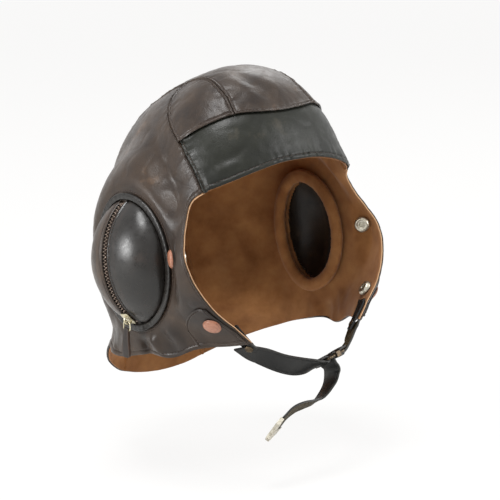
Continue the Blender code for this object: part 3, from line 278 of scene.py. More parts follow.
@dataclass(frozen=True)
class Chamois(Finish):
    """Oil tanned chamois, split and buffed: a matt tan nap, darker where hands and hair oil it"""

    body: str
    dark: str
    light: str
    edge: str

    def look(self, tree: Tree, places: Outputs) -> dict:
        """Oily clouds under a fine nap, and a pale cut edge where the wear_and_highlight
        attribute says

        Args:
            tree: the material's node tree
            places: outputs of its Texture Coordinate node

        Returns:
            the shader's inputs, each with a value or an output socket
        """
        wear_and_highlight = add_node(tree, "Attribute", attribute_name="wear_and_highlight").outputs["Fac"]
        cloud, nap = (add_node(tree, "TexNoise", {
            "Vector": places["Object"], "Scale": per_mm(size), "Detail": 5.0, "Roughness": rough,
        }).outputs["Fac"] for size, rough in ((22.0, 0.6), (0.7, 0.75)))
        tone = add_node(tree, "ValToRGB", {"Fac": cloud}, (
            (0.28, self.dark), (0.5, self.body), (0.75, self.light),
        )).outputs["Color"]
        return {
            "Base Color": add_node(tree, "Mix", {
                "Factor": wear_and_highlight, 6: tone, 7: linear(self.edge),
            }, data_type="RGBA").outputs[2],
            "Normal": add_node(tree, "Bump", {
                "Height": nap, "Strength": 0.35, "Distance": 0.3 * MM,
            }).outputs["Normal"],
            "Roughness": 0.92, "Sheen Weight": 0.12, "Sheen Roughness": 0.5,
            "Specular IOR Level": 0.15,
        }


@dataclass(frozen=True)
class PlatedMetal(Finish):
    """Pressed and plated fitting: rubbed bright on top of a duller, handled tone"""

    bright: str
    dull: str
    gloss: float = 0.28
    metallic: float = 1.0
    glaze: float = 0.0

    def look(self, tree: Tree, places: Outputs) -> dict:
        """Tarnish that dulls the plate, and fine scratches

        Args:
            tree: the material's node tree
            places: outputs of its Texture Coordinate node

        Returns:
            the shader's inputs, each with a value or an output socket
        """
        tarnish, scratches = (add_node(tree, "TexNoise", {
            "Vector": places["Object"], "Scale": per_mm(size), "Detail": detail,
            "Roughness": rough,
        }).outputs["Fac"] for size, detail, rough in ((2.4, 5.0, 0.6), (0.5, 2.0, 0.5)))
        return {
            "Base Color": add_node(tree, "ValToRGB", {"Fac": tarnish}, (
                (0.35, self.dull), (0.6, self.bright),
            )).outputs["Color"],
            "Roughness": add_node(tree, "MapRange", {
                "Value": tarnish, "To Min": self.gloss + 0.14, "To Max": self.gloss - 0.06,
            }).outputs["Result"],
            "Normal": add_node(tree, "Bump", {
                "Height": scratches, "Strength": 0.08, "Distance": 0.1 * MM,
            }).outputs["Normal"],
            "Metallic": self.metallic, "Coat Weight": self.glaze, "Coat Roughness": 0.12,
        }


@dataclass(frozen=True)
class SpunThread(Finish):
    """Three ply waxed thread: a dark, dull cord with its lay across the stitch"""

    body: str
    light: str

    def look(self, tree: Tree, places: Outputs) -> dict:
        """The lay of the plies

        Args:
            tree: the material's node tree
            places: outputs of its Texture Coordinate node

        Returns:
            the shader's inputs, each with a value or an output socket
        """
        lay = add_node(tree, "TexNoise", {
            "Vector": places["Object"], "Scale": per_mm(0.6), "Detail": 2.0,
        }).outputs["Fac"]
        return {
            "Base Color": add_node(tree, "ValToRGB", {"Fac": lay}, (
                (0.35, self.body), (0.7, self.light),
            )).outputs["Color"],
            "Roughness": 0.7,
        }


@dataclass(frozen=True)
class ZipTape(Finish):
    """Herringbone cotton tape, dyed dark brown: fine ribs across the piece's own UV map"""

    body: str
    light: str
    ribs: float = 120.0

    def look(self, tree: Tree, places: Outputs) -> dict:
        """The ribs of the weave

        Args:
            tree: the material's node tree
            places: outputs of its Texture Coordinate node

        Returns:
            the shader's inputs, each with a value or an output socket
        """
        weave = add_node(tree, "TexWave", {
            "Vector": places["UV"], "Scale": self.ribs, "Distortion": 0.6,
        }, bands_direction="Y").outputs["Fac"]
        return {
            "Base Color": add_node(tree, "ValToRGB", {"Fac": weave}, (
                (0.2, self.body), (0.8, self.light),
            )).outputs["Color"],
            "Normal": add_node(tree, "Bump", {
                "Height": weave, "Strength": 0.4, "Distance": 0.2 * MM,
            }).outputs["Normal"],
            "Roughness": 0.95,
        }


FINISHES = {
    # Third colour: worn places; on helmet and cup leather also the painted highlight by the cup
    # zips
    "helmet": Goatskin("aged_goatskin", Slot.HELMET, "211a16", "35291f", "5f4b3b", gloss=0.35),
    "band": Goatskin("band_goatskin", Slot.BAND, "151612", "20211b", "423d33",
                     gloss=0.36, relief=0.28, bloom=0.06, shine=0.25),
    "cup": Goatskin("cup_goatskin", Slot.BAND, "12100e", "1c1916", "352a24",
                    gloss=0.29, relief=0.04, bloom=0.0, shine=0.45),
    "strap": Goatskin("strap_leather", Slot.STRAP, "0b0b0b", "181817", "34322e",
                      gloss=0.40, relief=0.16, bloom=0.0),
    "reverse": Goatskin("strap_flesh_side", Slot.STRAP, "262010", "382f1b", "50442b",
                        gloss=0.62, relief=0.3, bloom=0.0, shine=0.2),
    "pull": Goatskin("pull_leather", Slot.PULL, "1d1917", "2f2926", "5f4636",
                     gloss=0.5, bloom=0.05, shine=0.25),
    "chamois": Chamois("chamois", Slot.CHAMOIS, "8c5f38", "784c29", "a27145", "c39c78"),
    "thread": SpunThread("waxed_thread", Slot.HELMET, "2a211d", "4a3b32"),
    "tape": ZipTape("cotton_tape", Slot.TEETH, "241c18", "3d312a"),
    "teeth": PlatedMetal("bronzed_zip_teeth", Slot.TEETH, "9c8c80", "64564c", gloss=0.36),
    "brass": PlatedMetal("aged_brass", Slot.BRASS, "c8c1a8", "a49a7e", gloss=0.30),
    "bronze": PlatedMetal("bronzed_steel", Slot.BRONZE, "5c5040", "37302a", gloss=0.34),
    "nickel": PlatedMetal("nickel_plate", Slot.NICKEL, "c9c4b6", "9b9585", gloss=0.34),
    "enamel": PlatedMetal("russet_enamel", Slot.ENAMEL, "9c684f", "87553f",
                          gloss=0.30, metallic=0.0, glaze=0.35),
}
MATERIALS: dict[str, bpy.types.Material] = {}


def finish_of(name: str) -> bpy.types.Material:
    """Give a finish's material, made when it is first asked for

    Args:
        name: key of the finish

    Returns:
        its material
    """
    if name not in MATERIALS:
        MATERIALS[name] = FINISHES[name].make()
    return MATERIALS[name]


def eased(value: Array, start: float, end: float) -> Array:
    """Share of the way from start to end, eased at both ends"""
    share = np.clip((value - start) / (end - start), 0.0, 1.0)
    return share * share * (3.0 - 2.0 * share)


def bell(value: Array, width: float) -> Array:
    """A bell curve's height, 1 where the value is 0"""
    return np.exp(-((value / width) ** 2))


def unit(vectors: Array) -> Array:
    """Vectors of length one"""
    size = np.linalg.norm(vectors, axis=-1, keepdims=True)
    return vectors / np.maximum(size, 1e-12)


def smooth_row(row: Sequence, share: Array) -> Array:
    """Read a smooth curve through a row of values

    Args:
        row: the values, evenly spaced by share
        share: places along the row, from 0 to 1

    Returns:
        the curve's values there
    """
    row = np.asarray(row, dtype=float)
    spans = len(row) - 1
    place = np.clip(share, 0.0, 1.0) * spans
    index = np.minimum(place.astype(int), spans - 1)
    step = (place - index)[..., None]
    here, there = row[index], row[index + 1]
    first, last = (index > 0)[..., None], (index + 2 <= spans)[..., None]
    before = np.where(first, row[np.maximum(index - 1, 0)], 2.0 * here - there)
    after = np.where(last, row[np.minimum(index + 2, spans)], 2.0 * there - here)
    leave, arrive = 0.5 * (there - before), 0.5 * (after - here)
    value = (2.0 * step**3 - 3.0 * step**2 + 1.0) * here
    value += (step**3 - 2.0 * step**2 + step) * leave
    value += (3.0 * step**2 - 2.0 * step**3) * there
    return value + (step**3 - step**2) * arrive


def noise_at(points: Array, size: float, seed: float = 0.0) -> Array:
    """Soft noise over points

    Args:
        points: the places
        size: width of one lump, in metres
        seed: moves the pattern

    Returns:
        values from about -1 to 1
    """
    flat = (points.reshape(-1, 3) / size + seed).tolist()
    return np.array([noise.noise(place) for place in flat]).reshape(points.shape[:-1])


@dataclass(frozen=True)
class HeadForm:
    """The worn shape of the helmet: an oval dome over a bell shaped skirt, flat at the ears"""

    half_width: float = 0.0844
    front_reach: float = 0.0655
    back_reach: float = 0.1497
    crown_rise: float = 0.1211
    skirt_drop: float = 0.100
    widest_forward: float = 0.0413
    widest_height: float = 0.0198
    fullness: float = 2.3
    lean_back: float = math.radians(19.0)
    flare: float = 0.024
    ripple: float = 0.0022
    ripple_count: float = 9.0
    ear_half_span: float = 0.098
    zip_behind: float = 0.008
    cup_lean: float = math.radians(10.0)
    cup_long: float = 0.050
    cup_front: float = 0.0425
    cup_rear: float = 0.035
    rim: float = 0.0102
    fade: Sizes = (0.042, 0.012, 0.045)
    flare_levels: tuple = (0.33, 0.18, 0.06, -0.08, -0.24, -0.40, -0.55, -0.72, -0.88, -1.10)
    flare_shares: tuple = (
        (0.0, 0.08, 0.33, 0.67, 0.98, 1.0, 0.80, 0.40, -0.25, -1.05),
        (0.0, 0.08, 0.25, 0.46, 0.64, 0.68, 0.62, 0.46, 0.36, 0.40),
        (0.0, 0.0, 0.0, 0.0, 0.0, 0.0, 0.15, 0.95, 1.65, 1.90),
        (0.0, 0.0, 0.0, 0.0, 0.0, -0.02, 0.0, 0.15, 0.42, 0.70),
    )
    flare_angles: tuple = (76.0, 118.0, 146.0, 180.0)

    @property
    def turn(self) -> Array:
        """The head's tilt as a matrix for rows of points"""
        cosine, sine = math.cos(self.lean_back), math.sin(self.lean_back)
        return np.array(((1.0, 0.0, 0.0), (0.0, cosine, -sine), (0.0, sine, cosine)))

    @property
    def centre(self) -> Array:
        """The dome's centre in the head's own frame"""
        return np.array((0.0, -self.widest_forward, self.widest_height))

    @property
    def middle(self) -> Array:
        """The dome's centre in the row frame"""
        return self.centre @ self.turn

    def flare_at(self, angle: Array, level: Array) -> Array:
        """How far the skirt stands out at angles round the head and levels

        Args:
            angle: degrees round the head from the front
            level: share of the crown's rise or, below 0, of the skirt's drop

        Returns:
            distances, outwards from the upright line through the dome's centre
        """
        marks = -np.array(self.flare_levels)
        place = np.interp(-level, marks, np.arange(len(marks))) / (len(marks) - 1)
        values = [smooth_row([(v,) for v in row], place)[..., 0] for row in self.flare_shares]
        share = values[0]
        for index in range(1, len(values)):
            mix = eased(angle, self.flare_angles[index - 1], self.flare_angles[index])
            share = share + mix * (values[index] - values[index - 1])
        flute = self.ripple * eased(-level, 0.45, 1.0)
        flute = flute * np.cos(np.radians(self.ripple_count * (180.0 - angle)))
        return self.flare * share + flute * eased(angle, *self.flare_angles[:2])

    def shaped(self, reach: Array) -> Array:
        """Move points, given from the dome's centre in the head's frame, onto the form

        Args:
            reach: from the dome's centre, in the head's frame

        Returns:
            the points on the form
        """
        full = self.fullness
        depth = np.where(reach[..., 1] < 0.0, self.front_reach, self.back_reach)
        oval = np.abs(reach[..., 0] / self.half_width) ** full
        oval = oval + np.abs(reach[..., 1] / depth) ** full
        above = reach[..., 2] > 0.0
        lifted = oval + (np.maximum(reach[..., 2], 0.0) / self.crown_rise) ** full
        dome = np.where(above, lifted, oval) ** (-1.0 / full)
        point = reach * dome[..., None]
        point[..., 2] = np.where(above, point[..., 2], reach[..., 2])
        level = point[..., 2] / np.where(above, self.crown_rise, self.skirt_drop)
        angle = np.degrees(np.arctan2(np.abs(point[..., 0]), -point[..., 1]))
        radius = np.hypot(point[..., 0], point[..., 1])
        spread = 1.0 + self.flare_at(angle, level) / np.maximum(radius, 1e-9)
        point[..., :2] *= spread[..., None]
        return point

    def cup_axes(self, side: float) -> Arrays:
        """The long, forward and outward directions of an ear cup

        Args:
            side: -1 for the wearer's right, 1 for the left

        Returns:
            the three directions
        """
        cosine, sine = math.cos(self.cup_lean), math.sin(self.cup_lean)
        long_way, forward = np.array((0.0, sine, cosine)), np.array((0.0, -cosine, sine))
        return long_way, forward, np.array((side, 0.0, 0.0))

    def cup_centre(self, side: float, out: float = 0.0) -> Array:
        """The zip's middle, moved out from the leather"""
        return np.array((side * (self.ear_half_span + out), self.zip_behind, 0.0))

    def egg_radius(self, turn: Array, long_reach: float, front: float, rear: float) -> Array:
        """Distance from the zip's middle to an egg outline, at turns from forward to the top"""
        across = np.where(np.cos(turn) > 0.0, front, rear)
        return 1.0 / np.hypot(np.cos(turn) / across, np.sin(turn) / long_reach)

    def cup_radius(self, turn: Array, grow: Array) -> Array:
        """Distance from the zip's middle to the cup's outline, grown outwards"""
        sizes = (self.cup_long + grow, self.cup_front + grow, self.cup_rear + grow)
        return self.egg_radius(turn, *sizes)

    def ear_place(self, points: Array) -> Arrays:
        """Turn and distance of points from the zip's middle, seen from the side

        Args:
            points: the places

        Returns:
            turns and distances
        """
        long_way, forward, _ = self.cup_axes(1.0)
        flat = points - self.cup_centre(1.0)
        along, ahead = flat @ long_way, flat @ forward
        return np.arctan2(along, ahead), np.hypot(along, ahead)

    def seated(self, points: Array) -> Array:
        """Ease points onto the flat seat of the ear cups

        Args:
            points: the places

        Returns:
            the eased points
        """
        side = np.where(points[..., 0] > 0.0, 1.0, -1.0)
        turn, reach = self.ear_place(points)
        near = self.cup_radius(turn, self.rim)
        far = near + self.egg_radius(turn, *self.fade)
        keep = np.clip((reach - near) / (far - near), 0.0, 1.0)
        keep = keep * keep * (3.0 - 2.0 * keep)
        flat = side * self.ear_half_span
        points = points.copy()
        points[..., 0] = flat + keep * (points[..., 0] - flat)
        return points

    def laid(self, points: Array) -> Array:
        """The points of the leather's outer face nearest to points beside it"""
        reach = points @ self.turn.T - self.centre
        return self.seated((self.shaped(reach) + self.centre) @ self.turn)

    def at(self, angle: Array, level: Array) -> Array:
        """Points of the leather's outer face at signed angles round the head and level shares

        Args:
            angle: signed degrees round the head from the front
            level: share of the crown's rise or, below 0, of the skirt's drop

        Returns:
            the points
        """
        turn = np.radians(angle)
        depth = np.where(np.cos(turn) > 0.0, self.front_reach, self.back_reach)
        full = self.fullness
        oval = (np.abs(np.sin(turn)) / self.half_width) ** full
        oval = (oval + (np.abs(np.cos(turn)) / depth) ** full) ** (-1.0 / full)
        rise = level * np.where(level > 0.0, self.crown_rise, self.skirt_drop)
        oval = oval * (1.0 - np.maximum(level, 0.0) ** full) ** (1.0 / full)
        reach = np.stack((np.sin(turn) * oval, -np.cos(turn) * oval, rise), axis=-1)
        return self.seated((self.shaped(reach) + self.centre) @ self.turn)

    def outward(self, points: Array, step: float = 1.3 * MM) -> Array:
        """Outward directions of the leather at points on it

        Args:
            points: the places
            step: distance to the neighbours that are compared

        Returns:
            the directions
        """
        away = unit(points - self.middle)
        helper = np.where(np.abs(away[..., 2:]) < 0.8, (0.0, 0.0, 1.0), (1.0, 0.0, 0.0))
        first = unit(np.cross(away, helper))
        second = np.cross(away, first)
        one = self.laid(points + first * step) - self.laid(points - first * step)
        two = self.laid(points + second * step) - self.laid(points - second * step)
        normal = unit(np.cross(one, two))
        return normal * np.sign((normal * away).sum(-1, keepdims=True))


FORM = HeadForm()


@dataclass(frozen=True)
class SeamLine:
    """A seam or edge on the form, through rows of angle and level"""

    row: tuple
    side: float = 1.0
    start: float = 0.0
    end: float = 1.0
    curl: float = 0.0
    curl_angle: float = 148.0
    curl_reach: float = 17.0

    def __call__(self, share: Array) -> Array:
        """Points of the line at shares of its length

        Args:
            share: shares of the length, from 0 to 1

        Returns:
            the points
        """
        share = np.asarray(share, dtype=float)
        found = smooth_row(self.row, self.start + share * (self.end - self.start))
        angle, level = found[..., 0], found[..., 1]
        lift = 1.0 - np.minimum(np.abs(angle - self.curl_angle) / self.curl_reach, 1.0)
        return FORM.at(self.side * angle, level + self.curl * eased(lift, 0.0, 1.0))


def mirrored(row: tuple) -> tuple:
    """A row that runs from the right side over the middle to the left side"""
    right = [(-angle, level) for angle, level in row]
    return tuple(right + [(angle, level) for angle, level in reversed(row[:-1])])


@dataclass(frozen=True)
class Pattern:
    """The cutter's seam lines: degrees round the head from the front, and level shares"""

    face: tuple = (
        (66.0, -1.02), (72.0, -0.80), (75.3, -0.57), (76.6, -0.37),
        (77.8, -0.17), (78.0, 0.02), (75.8, 0.14), (68.5, 0.185),
    )
    flank: tuple = (
        (68.5, 0.185), (71.5, 0.30), (76.0, 0.42), (82.0, 0.54),
        (92.5, 0.67), (103.0, 0.79), (109.5, 0.885), (108.4, 0.943),
    )
    strip: tuple = (
        (42.2, 0.632), (46.7, 0.78), (60.0, 0.90), (82.0, 0.941), (108.4, 0.943),
        (133.0, 0.93), (150.5, 0.885), (159.3, 0.781), (163.5, 0.618), (165.6, 0.41),
        (166.0, 0.15), (166.0, -0.20), (165.8, -0.50), (165.4, -0.78), (165.0, -0.99),
    )
    band_top: tuple = ((82.0, 0.54), (62.5, 0.602), (42.2, 0.632), (21.0, 0.618), (0.0, 0.61))
    brow: tuple = ((68.5, 0.185), (52.0, 0.212), (35.0, 0.245), (17.0, 0.270), (0.0, 0.274))
    hem: tuple = (
        (66.0, -1.02), (81.0, -1.0), (97.0, -0.965), (112.0, -0.985),
        (126.0, -0.91), (140.0, -0.88), (153.0, -0.92), (165.0, -0.99),
    )
    nape: tuple = ((165.0, -0.99), (172.0, -1.03), (180.0, -1.045))
    patch: tuple = (
        ((68.0, -0.985), (82.0, -0.968), (96.5, -0.93)),
        ((76.4, -0.68), (81.0, -0.66), (87.0, -0.685), (92.5, -0.735), (95.2, -0.80)),
        ((68.0, -0.985), (73.2, -0.80), (76.4, -0.68)),
        ((96.5, -0.93), (96.2, -0.865), (95.2, -0.80)),
    )
    root: tuple = (
        ((66.0, -1.096), (75.6, -1.094)), ((69.0, -0.88), (79.0, -0.88)),
        ((66.0, -1.096), (69.0, -0.88)), ((75.6, -1.094), (79.0, -0.88)),
    )
    band_end: float = 3.0 / 7.0
    petal_tip: float = 4.0 / 14.0
    strip_foot: float = 0.25
    curls: tuple = (("right", 0.16), ("left", 0.0))

    def nape_hem(self) -> SeamLine:
        """The hem across the back, from the right strip seam to the left one

        Returns:
            the line
        """
        right = [(-angle, level) for angle, level in self.nape]
        left = [(angle - 360.0, level) for angle, level in reversed(self.nape[:-1])]
        return SeamLine(tuple(right + left))


PATTERN = Pattern()


@dataclass(frozen=True)
class Fold:
    """A soft ridge, or a valley where its height is negative, pressed into worn leather"""

    line: tuple
    height: float
    width: float

    def lift(self, points: Array) -> Array:
        """How far the fold raises the leather at points on the form

        Args:
            points: the places

        Returns:
            heights, below 0 in a valley
        """
        share = np.linspace(0.0, 1.0, 25)
        row = smooth_row(self.line, share)
        path = FORM.at(row[:, 0], row[:, 1])
        flat = points.reshape(-1, 3)
        gap = np.linalg.norm(flat[:, None, :] - path[None, :, :], axis=-1)
        near = gap.argmin(axis=1)
        taper = np.sin(np.pi * np.clip(share[near] * 0.94 + 0.03, 0.0, 1.0)) ** 0.6
        value = self.height * taper * bell(gap.min(axis=1), self.width)
        return value.reshape(points.shape[:-1])


FOLDS = tuple(Fold(line, height * MM, width * MM) for line, height, width in (
    (((-42.0, 0.905), (-33.0, 0.85), (-22.0, 0.75), (-13.0, 0.66)), 1.1, 8.0),
    (((-30.0, 0.92), (-20.0, 0.85), (-9.0, 0.76)), -0.8, 7.0),
    (((-8.0, 0.90), (4.0, 0.83), (18.0, 0.74)), 0.9, 9.0),
    (((-64.0, 0.80), (-56.0, 0.74), (-47.0, 0.70)), 0.9, 6.0),
    (((-96.0, 0.30), (-86.0, 0.36), (-77.0, 0.39)), 0.8, 7.0),
    (((-100.0, 0.38), (-90.0, 0.46), (-81.0, 0.48)), -0.7, 7.0),
    (((-92.0, 0.22), (-84.0, 0.28), (-76.0, 0.31)), -0.6, 6.0),
    (((-119.0, -0.64), (-117.0, -0.78), (-116.0, -0.96)), 2.6, 4.5),
    (((-124.0, -0.66), (-123.0, -0.80), (-122.0, -0.95)), -2.6, 4.5),
    (((-112.0, -0.66), (-110.0, -0.80), (-108.0, -0.97)), -2.2, 5.0),
    (((-106.0, -0.68), (-104.0, -0.80), (-102.0, -0.95)), 1.2, 5.0),
    (((-130.0, -0.60), (-131.0, -0.75), (-133.0, -0.90)), 1.8, 5.0),
    (((-137.0, -0.50), (-139.0, -0.68), (-141.0, -0.86)), -1.6, 5.5),
    (((119.0, -0.64), (117.0, -0.78), (116.0, -0.96)), 1.8, 4.5),
    (((126.0, -0.66), (125.0, -0.80), (124.0, -0.93)), -1.9, 5.0),
    (((108.0, -0.66), (106.0, -0.80), (105.0, -0.95)), -1.2, 5.0),
    (((150.0, 0.30), (148.0, 0.10), (149.0, -0.15)), -1.0, 9.0),
    (((-150.0, 0.30), (-147.0, 0.08), (-149.0, -0.18)), -1.0, 9.0),
    (((-60.0, 0.34), (-48.0, 0.36), (-36.0, 0.42)), -0.7, 4.5),
    (((-62.0, 0.26), (-54.0, 0.30), (-44.0, 0.33)), 0.7, 4.0),
    (((22.0, 0.55), (26.0, 0.44), (24.0, 0.34)), 0.8, 6.0),
))


QUIET_SPOTS = (
    *((side * angle, level) for side in SIDES.values()
      for angle, level in ((85.0, -0.241), (79.0, -0.80), (73.5, -1.0))),
    *((side * 171.0, level) for side in SIDES.values()
      for level in (0.40, 0.30, 0.20, 0.10, 0.0, -0.06)),
    *((180.0, level) for level in (-0.10, -0.22, -0.34, -0.46, -0.60)),
)


def calm(points: Array) -> Array:
    """Share of its unevenness that the leather keeps, none where a fitting is seated on it

    Args:
        points: the places

    Returns:
        shares from 0 to 1
    """
    turn, reach = FORM.ear_place(points)
    share = eased(reach - FORM.cup_radius(turn, FORM.rim), -2.0 * MM, 6.0 * MM)
    spots = np.array(QUIET_SPOTS)
    for spot in FORM.at(spots[:, 0], spots[:, 1]):
        share = share * eased(np.linalg.norm(points - spot, axis=-1), 9.0 * MM, 18.0 * MM)
    return share


def ruffle(points: Array) -> Array:
    """Unevenness of worn leather at points on the form, along its outward direction

    Args:
        points: the places

    Returns:
        heights over the form
    """
    lift = 0.52 * MM * noise_at(points, 34.0 * MM)
    lift += 0.13 * MM * noise_at(points, 13.0 * MM, 4.0)
    crease = 1.0 - np.abs(noise_at(points, 17.0 * MM, 9.0))
    lift -= 0.34 * MM * crease**7
    for fold in FOLDS:
        lift += fold.lift(points)
    return lift * calm(points)


def deselect() -> None:
    """Deselect every object"""
    for thing in bpy.context.view_layer.objects:
        thing.select_set(False)


def activate(piece: Piece) -> None:
    """Select one object alone and make it active

    Args:
        piece: the object
    """
    deselect()
    piece.select_set(True)
    bpy.context.view_layer.objects.active = piece


def apply_modifiers(piece: Piece) -> None:
    """Apply a piece's modifiers in their order

    Args:
        piece: the object
    """
    activate(piece)
    for modifier in list(piece.modifiers):
        bpy.ops.object.modifier_apply(modifier=modifier.name)


def smooth(piece: Piece, degrees: float = 42.0) -> None:
    """Shade a piece smooth, with its sharp edges kept"""
    activate(piece)
    bpy.ops.object.shade_smooth_by_angle(angle=math.radians(degrees))


def keep(piece: Piece, name: str, finish: str, body: str = ROOT, replaces: Sequence[str] = (),
         slot: Optional[Slot] = None) -> None:
    """Name, dress and place a finished piece

    Args:
        piece: the object, with its shape in its mesh
        name: the piece's name
        finish: key of its finish
        body: the body that it rides on
        replaces: nodes that it stands for
        slot: the record's material slot, where it isn't the finish's own; not used
    """
    piece.name = name
    piece.data.name = name
    if not piece.data.materials:
        piece.data.materials.append(finish_of(finish))
    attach(piece, body)
    if replaces:
        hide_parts(*replaces)
    LOG.info("%s: %d faces on %s", name, len(piece.data.polygons), body)


def points_of(piece: Piece) -> Array:
    """A piece's points as rows of three numbers

    Args:
        piece: the object

    Returns:
        the points
    """
    flat = np.empty(len(piece.data.vertices) * 3)
    piece.data.vertices.foreach_get("co", flat)
    return flat.reshape(-1, 3)


def set_points(piece: Piece, points: Array) -> None:
    """Move a piece's points"""
    piece.data.vertices.foreach_set("co", points.ravel())


def grid_sheet(points: Array, wear_and_highlight: Optional[Array] = None) -> Piece:
    """A grid primitive laid on an array of points

    Args:
        points: rows, columns and coordinates
        wear_and_highlight: how worn each point is, from 0 to 1; beside the ear cups' zips
            it also paints a highlight

    Returns:
        the open sheet
    """
    rows, columns = points.shape[:2]
    deselect()
    bpy.ops.mesh.primitive_grid_add(
        x_subdivisions=columns - 1, y_subdivisions=rows - 1, size=1.0
    )
    sheet = bpy.context.object
    flat = points_of(sheet)
    column = np.rint((flat[:, 0] + 0.5) * (columns - 1)).astype(int)
    row = np.rint((flat[:, 1] + 0.5) * (rows - 1)).astype(int)
    set_points(sheet, points[row, column])
    if wear_and_highlight is not None:
        mark = sheet.data.attributes.new("wear_and_highlight", "FLOAT", "POINT")
        mark.data.foreach_set("value", wear_and_highlight[row, column].ravel())
    sheet.data.update()
    return sheet


def in_edit_mode(piece: Piece, *steps: Callable[[], set]) -> None:
    """Run mesh operators on the whole of a piece

    Args:
        piece: the object
        steps: the operators, each as a call to make
    """
    activate(piece)
    bpy.ops.object.mode_set(mode="EDIT")
    bpy.ops.mesh.select_all(action="SELECT")
    for step in steps:
        step()
    bpy.ops.object.mode_set(mode="OBJECT")


def weld(piece: Piece) -> None:
    """Merge doubled points and turn the faces outwards"""
    in_edit_mode(piece, lambda: bpy.ops.mesh.remove_doubles(threshold=0.01 * MM),
                 lambda: bpy.ops.mesh.normals_make_consistent(inside=False))


def grid_normals(points: Array, away_from: Array) -> Array:
    """Directions square to a grid of points, away from a place

    Args:
        points: rows, columns and coordinates
        away_from: the place behind them

    Returns:
        the directions
    """
    one, two = np.gradient(points, axis=0), np.gradient(points, axis=1)
    normal = unit(np.cross(one, two))
    return normal * np.sign((normal * (points - away_from)).sum(-1, keepdims=True))


def face_from(piece: Piece, place: Array) -> None:
    """Turn an open sheet's faces away from a place

    Args:
        piece: the open sheet
        place: what they look away from
    """
    mesh = piece.data
    centres, normals = np.empty(len(mesh.polygons) * 3), np.empty(len(mesh.polygons) * 3)
    mesh.polygons.foreach_get("center", centres)
    mesh.polygons.foreach_get("normal", normals)
    away = (centres.reshape(-1, 3) - place) * normals.reshape(-1, 3)
    if away.sum() < 0.0:
        in_edit_mode(piece, bpy.ops.mesh.flip_normals)


def give_wall(piece: Piece, thickness: float, offset: float = -1.0,
              reverse: Optional[str] = None) -> None:
    """Give an open sheet its thickness

    Args:
        piece: the sheet
        thickness: of the wall
        offset: -1 to grow inwards, 0 to both sides
        reverse: finish of the back, where it differs
    """
    wall = piece.modifiers.new("wall", "SOLIDIFY")
    wall.thickness = thickness
    wall.offset = offset
    if reverse:
        piece.data.materials.append(finish_of(reverse))
        wall.material_offset = 1
    apply_modifiers(piece)


@dataclass(frozen=True)
class Bead:
    """One short solid shape, modelled once, that is copied along rows"""

    points: Array
    faces: tuple

    @classmethod
    def taken(cls, piece: Piece) -> "Bead":
        """Take a bead from an object, which is then removed

        Args:
            piece: the object

        Returns:
            the bead
        """
        points = points_of(piece)
        faces = tuple(tuple(face.vertices) for face in piece.data.polygons)
        bpy.data.objects.remove(piece, do_unlink=True)
        return cls(points, faces)

    @classmethod
    def block(cls, size: Sizes, edge: float, segments: int) -> "Bead":
        """Model a block with rounded edges

        Args:
            size: width, length and height
            edge: width of the rounding
            segments: faces across it

        Returns:
            the bead
        """
        deselect()
        bpy.ops.mesh.primitive_cube_add(size=1.0)
        block = bpy.context.object
        block.data.transform(Matrix.Diagonal((*size, 1.0)))
        bevelled(block, edge, segments)
        return cls.taken(block)

    def strung(self, places: Array, axes: Array) -> Piece:
        """Copy the bead to many places

        Args:
            places: one point for each copy
            axes: for each copy the three directions of its own axes

        Returns:
            one object that holds the copies
        """
        count = len(self.points)
        moved = np.einsum("pk,nkc->npc", self.points, axes) + places[:, None, :]
        faces = [
            tuple(index + step * count for index in face)
            for step in range(len(places)) for face in self.faces
        ]
        mesh = bpy.data.meshes.new("beads")
        mesh.from_pydata(moved.reshape(-1, 3).tolist(), [], faces)
        piece = bpy.data.objects.new("beads", mesh)
        bpy.context.collection.objects.link(piece)
        return piece


@dataclass
class Stitching:
    """Saddle stitches along rows: short rolls of thread that dip into their holes"""

    pitch: float = 2.9 * MM
    length: float = 2.3 * MM
    thread: float = 0.30 * MM
    reach: float = 0.4 * MM

    def bead(self) -> Bead:
        """Model one stitch along its own X

        Returns:
            the stitch as a bead
        """
        deselect()
        bpy.ops.mesh.primitive_uv_sphere_add(segments=6, ring_count=5, radius=1.0)
        stitch = bpy.context.object
        for vertex in stitch.data.vertices:
            x, y, z = vertex.co.z, vertex.co.y, vertex.co.x
            sink = 0.35 * abs(x) ** 3
            vertex.co = (x * 0.5 * self.length, y * self.thread, (z - sink) * self.thread)
        return Bead.taken(stitch)

    def rows(self, name: str, rows: Sequence[Arrays], body: str = ROOT) -> None:
        """Sew rows of stitches

        Args:
            name: the piece's name
            rows: for each row its points and outward directions
            body: the body that it rides on
        """
        places, axes = [], []
        for path, normals in rows:
            lengths = np.linalg.norm(np.diff(path, axis=0), axis=1)
            run = np.concatenate(((0.0,), np.cumsum(lengths)))
            count = int(run[-1] / self.pitch)
            if count < 1:
                continue
            at = (np.arange(count) + 0.5) * run[-1] / count
            place, ahead, behind, out = (
                np.stack([np.interp(at + step, run, values[:, k]) for k in range(3)], axis=-1)
                for values, step in (
                    (path, 0.0), (path, self.reach), (path, -self.reach), (normals, 0.0),
                )
            )
            along = unit(ahead - behind)
            out = unit(out - along * (out * along).sum(-1, keepdims=True))
            places.append(place + out * 0.35 * self.thread)
            axes.append(np.stack((along, np.cross(out, along), out), axis=1))
        if places:
            piece = self.bead().strung(np.concatenate(places), np.concatenate(axes))
            piece.data.shade_smooth()
            keep(piece, name, "thread", body)


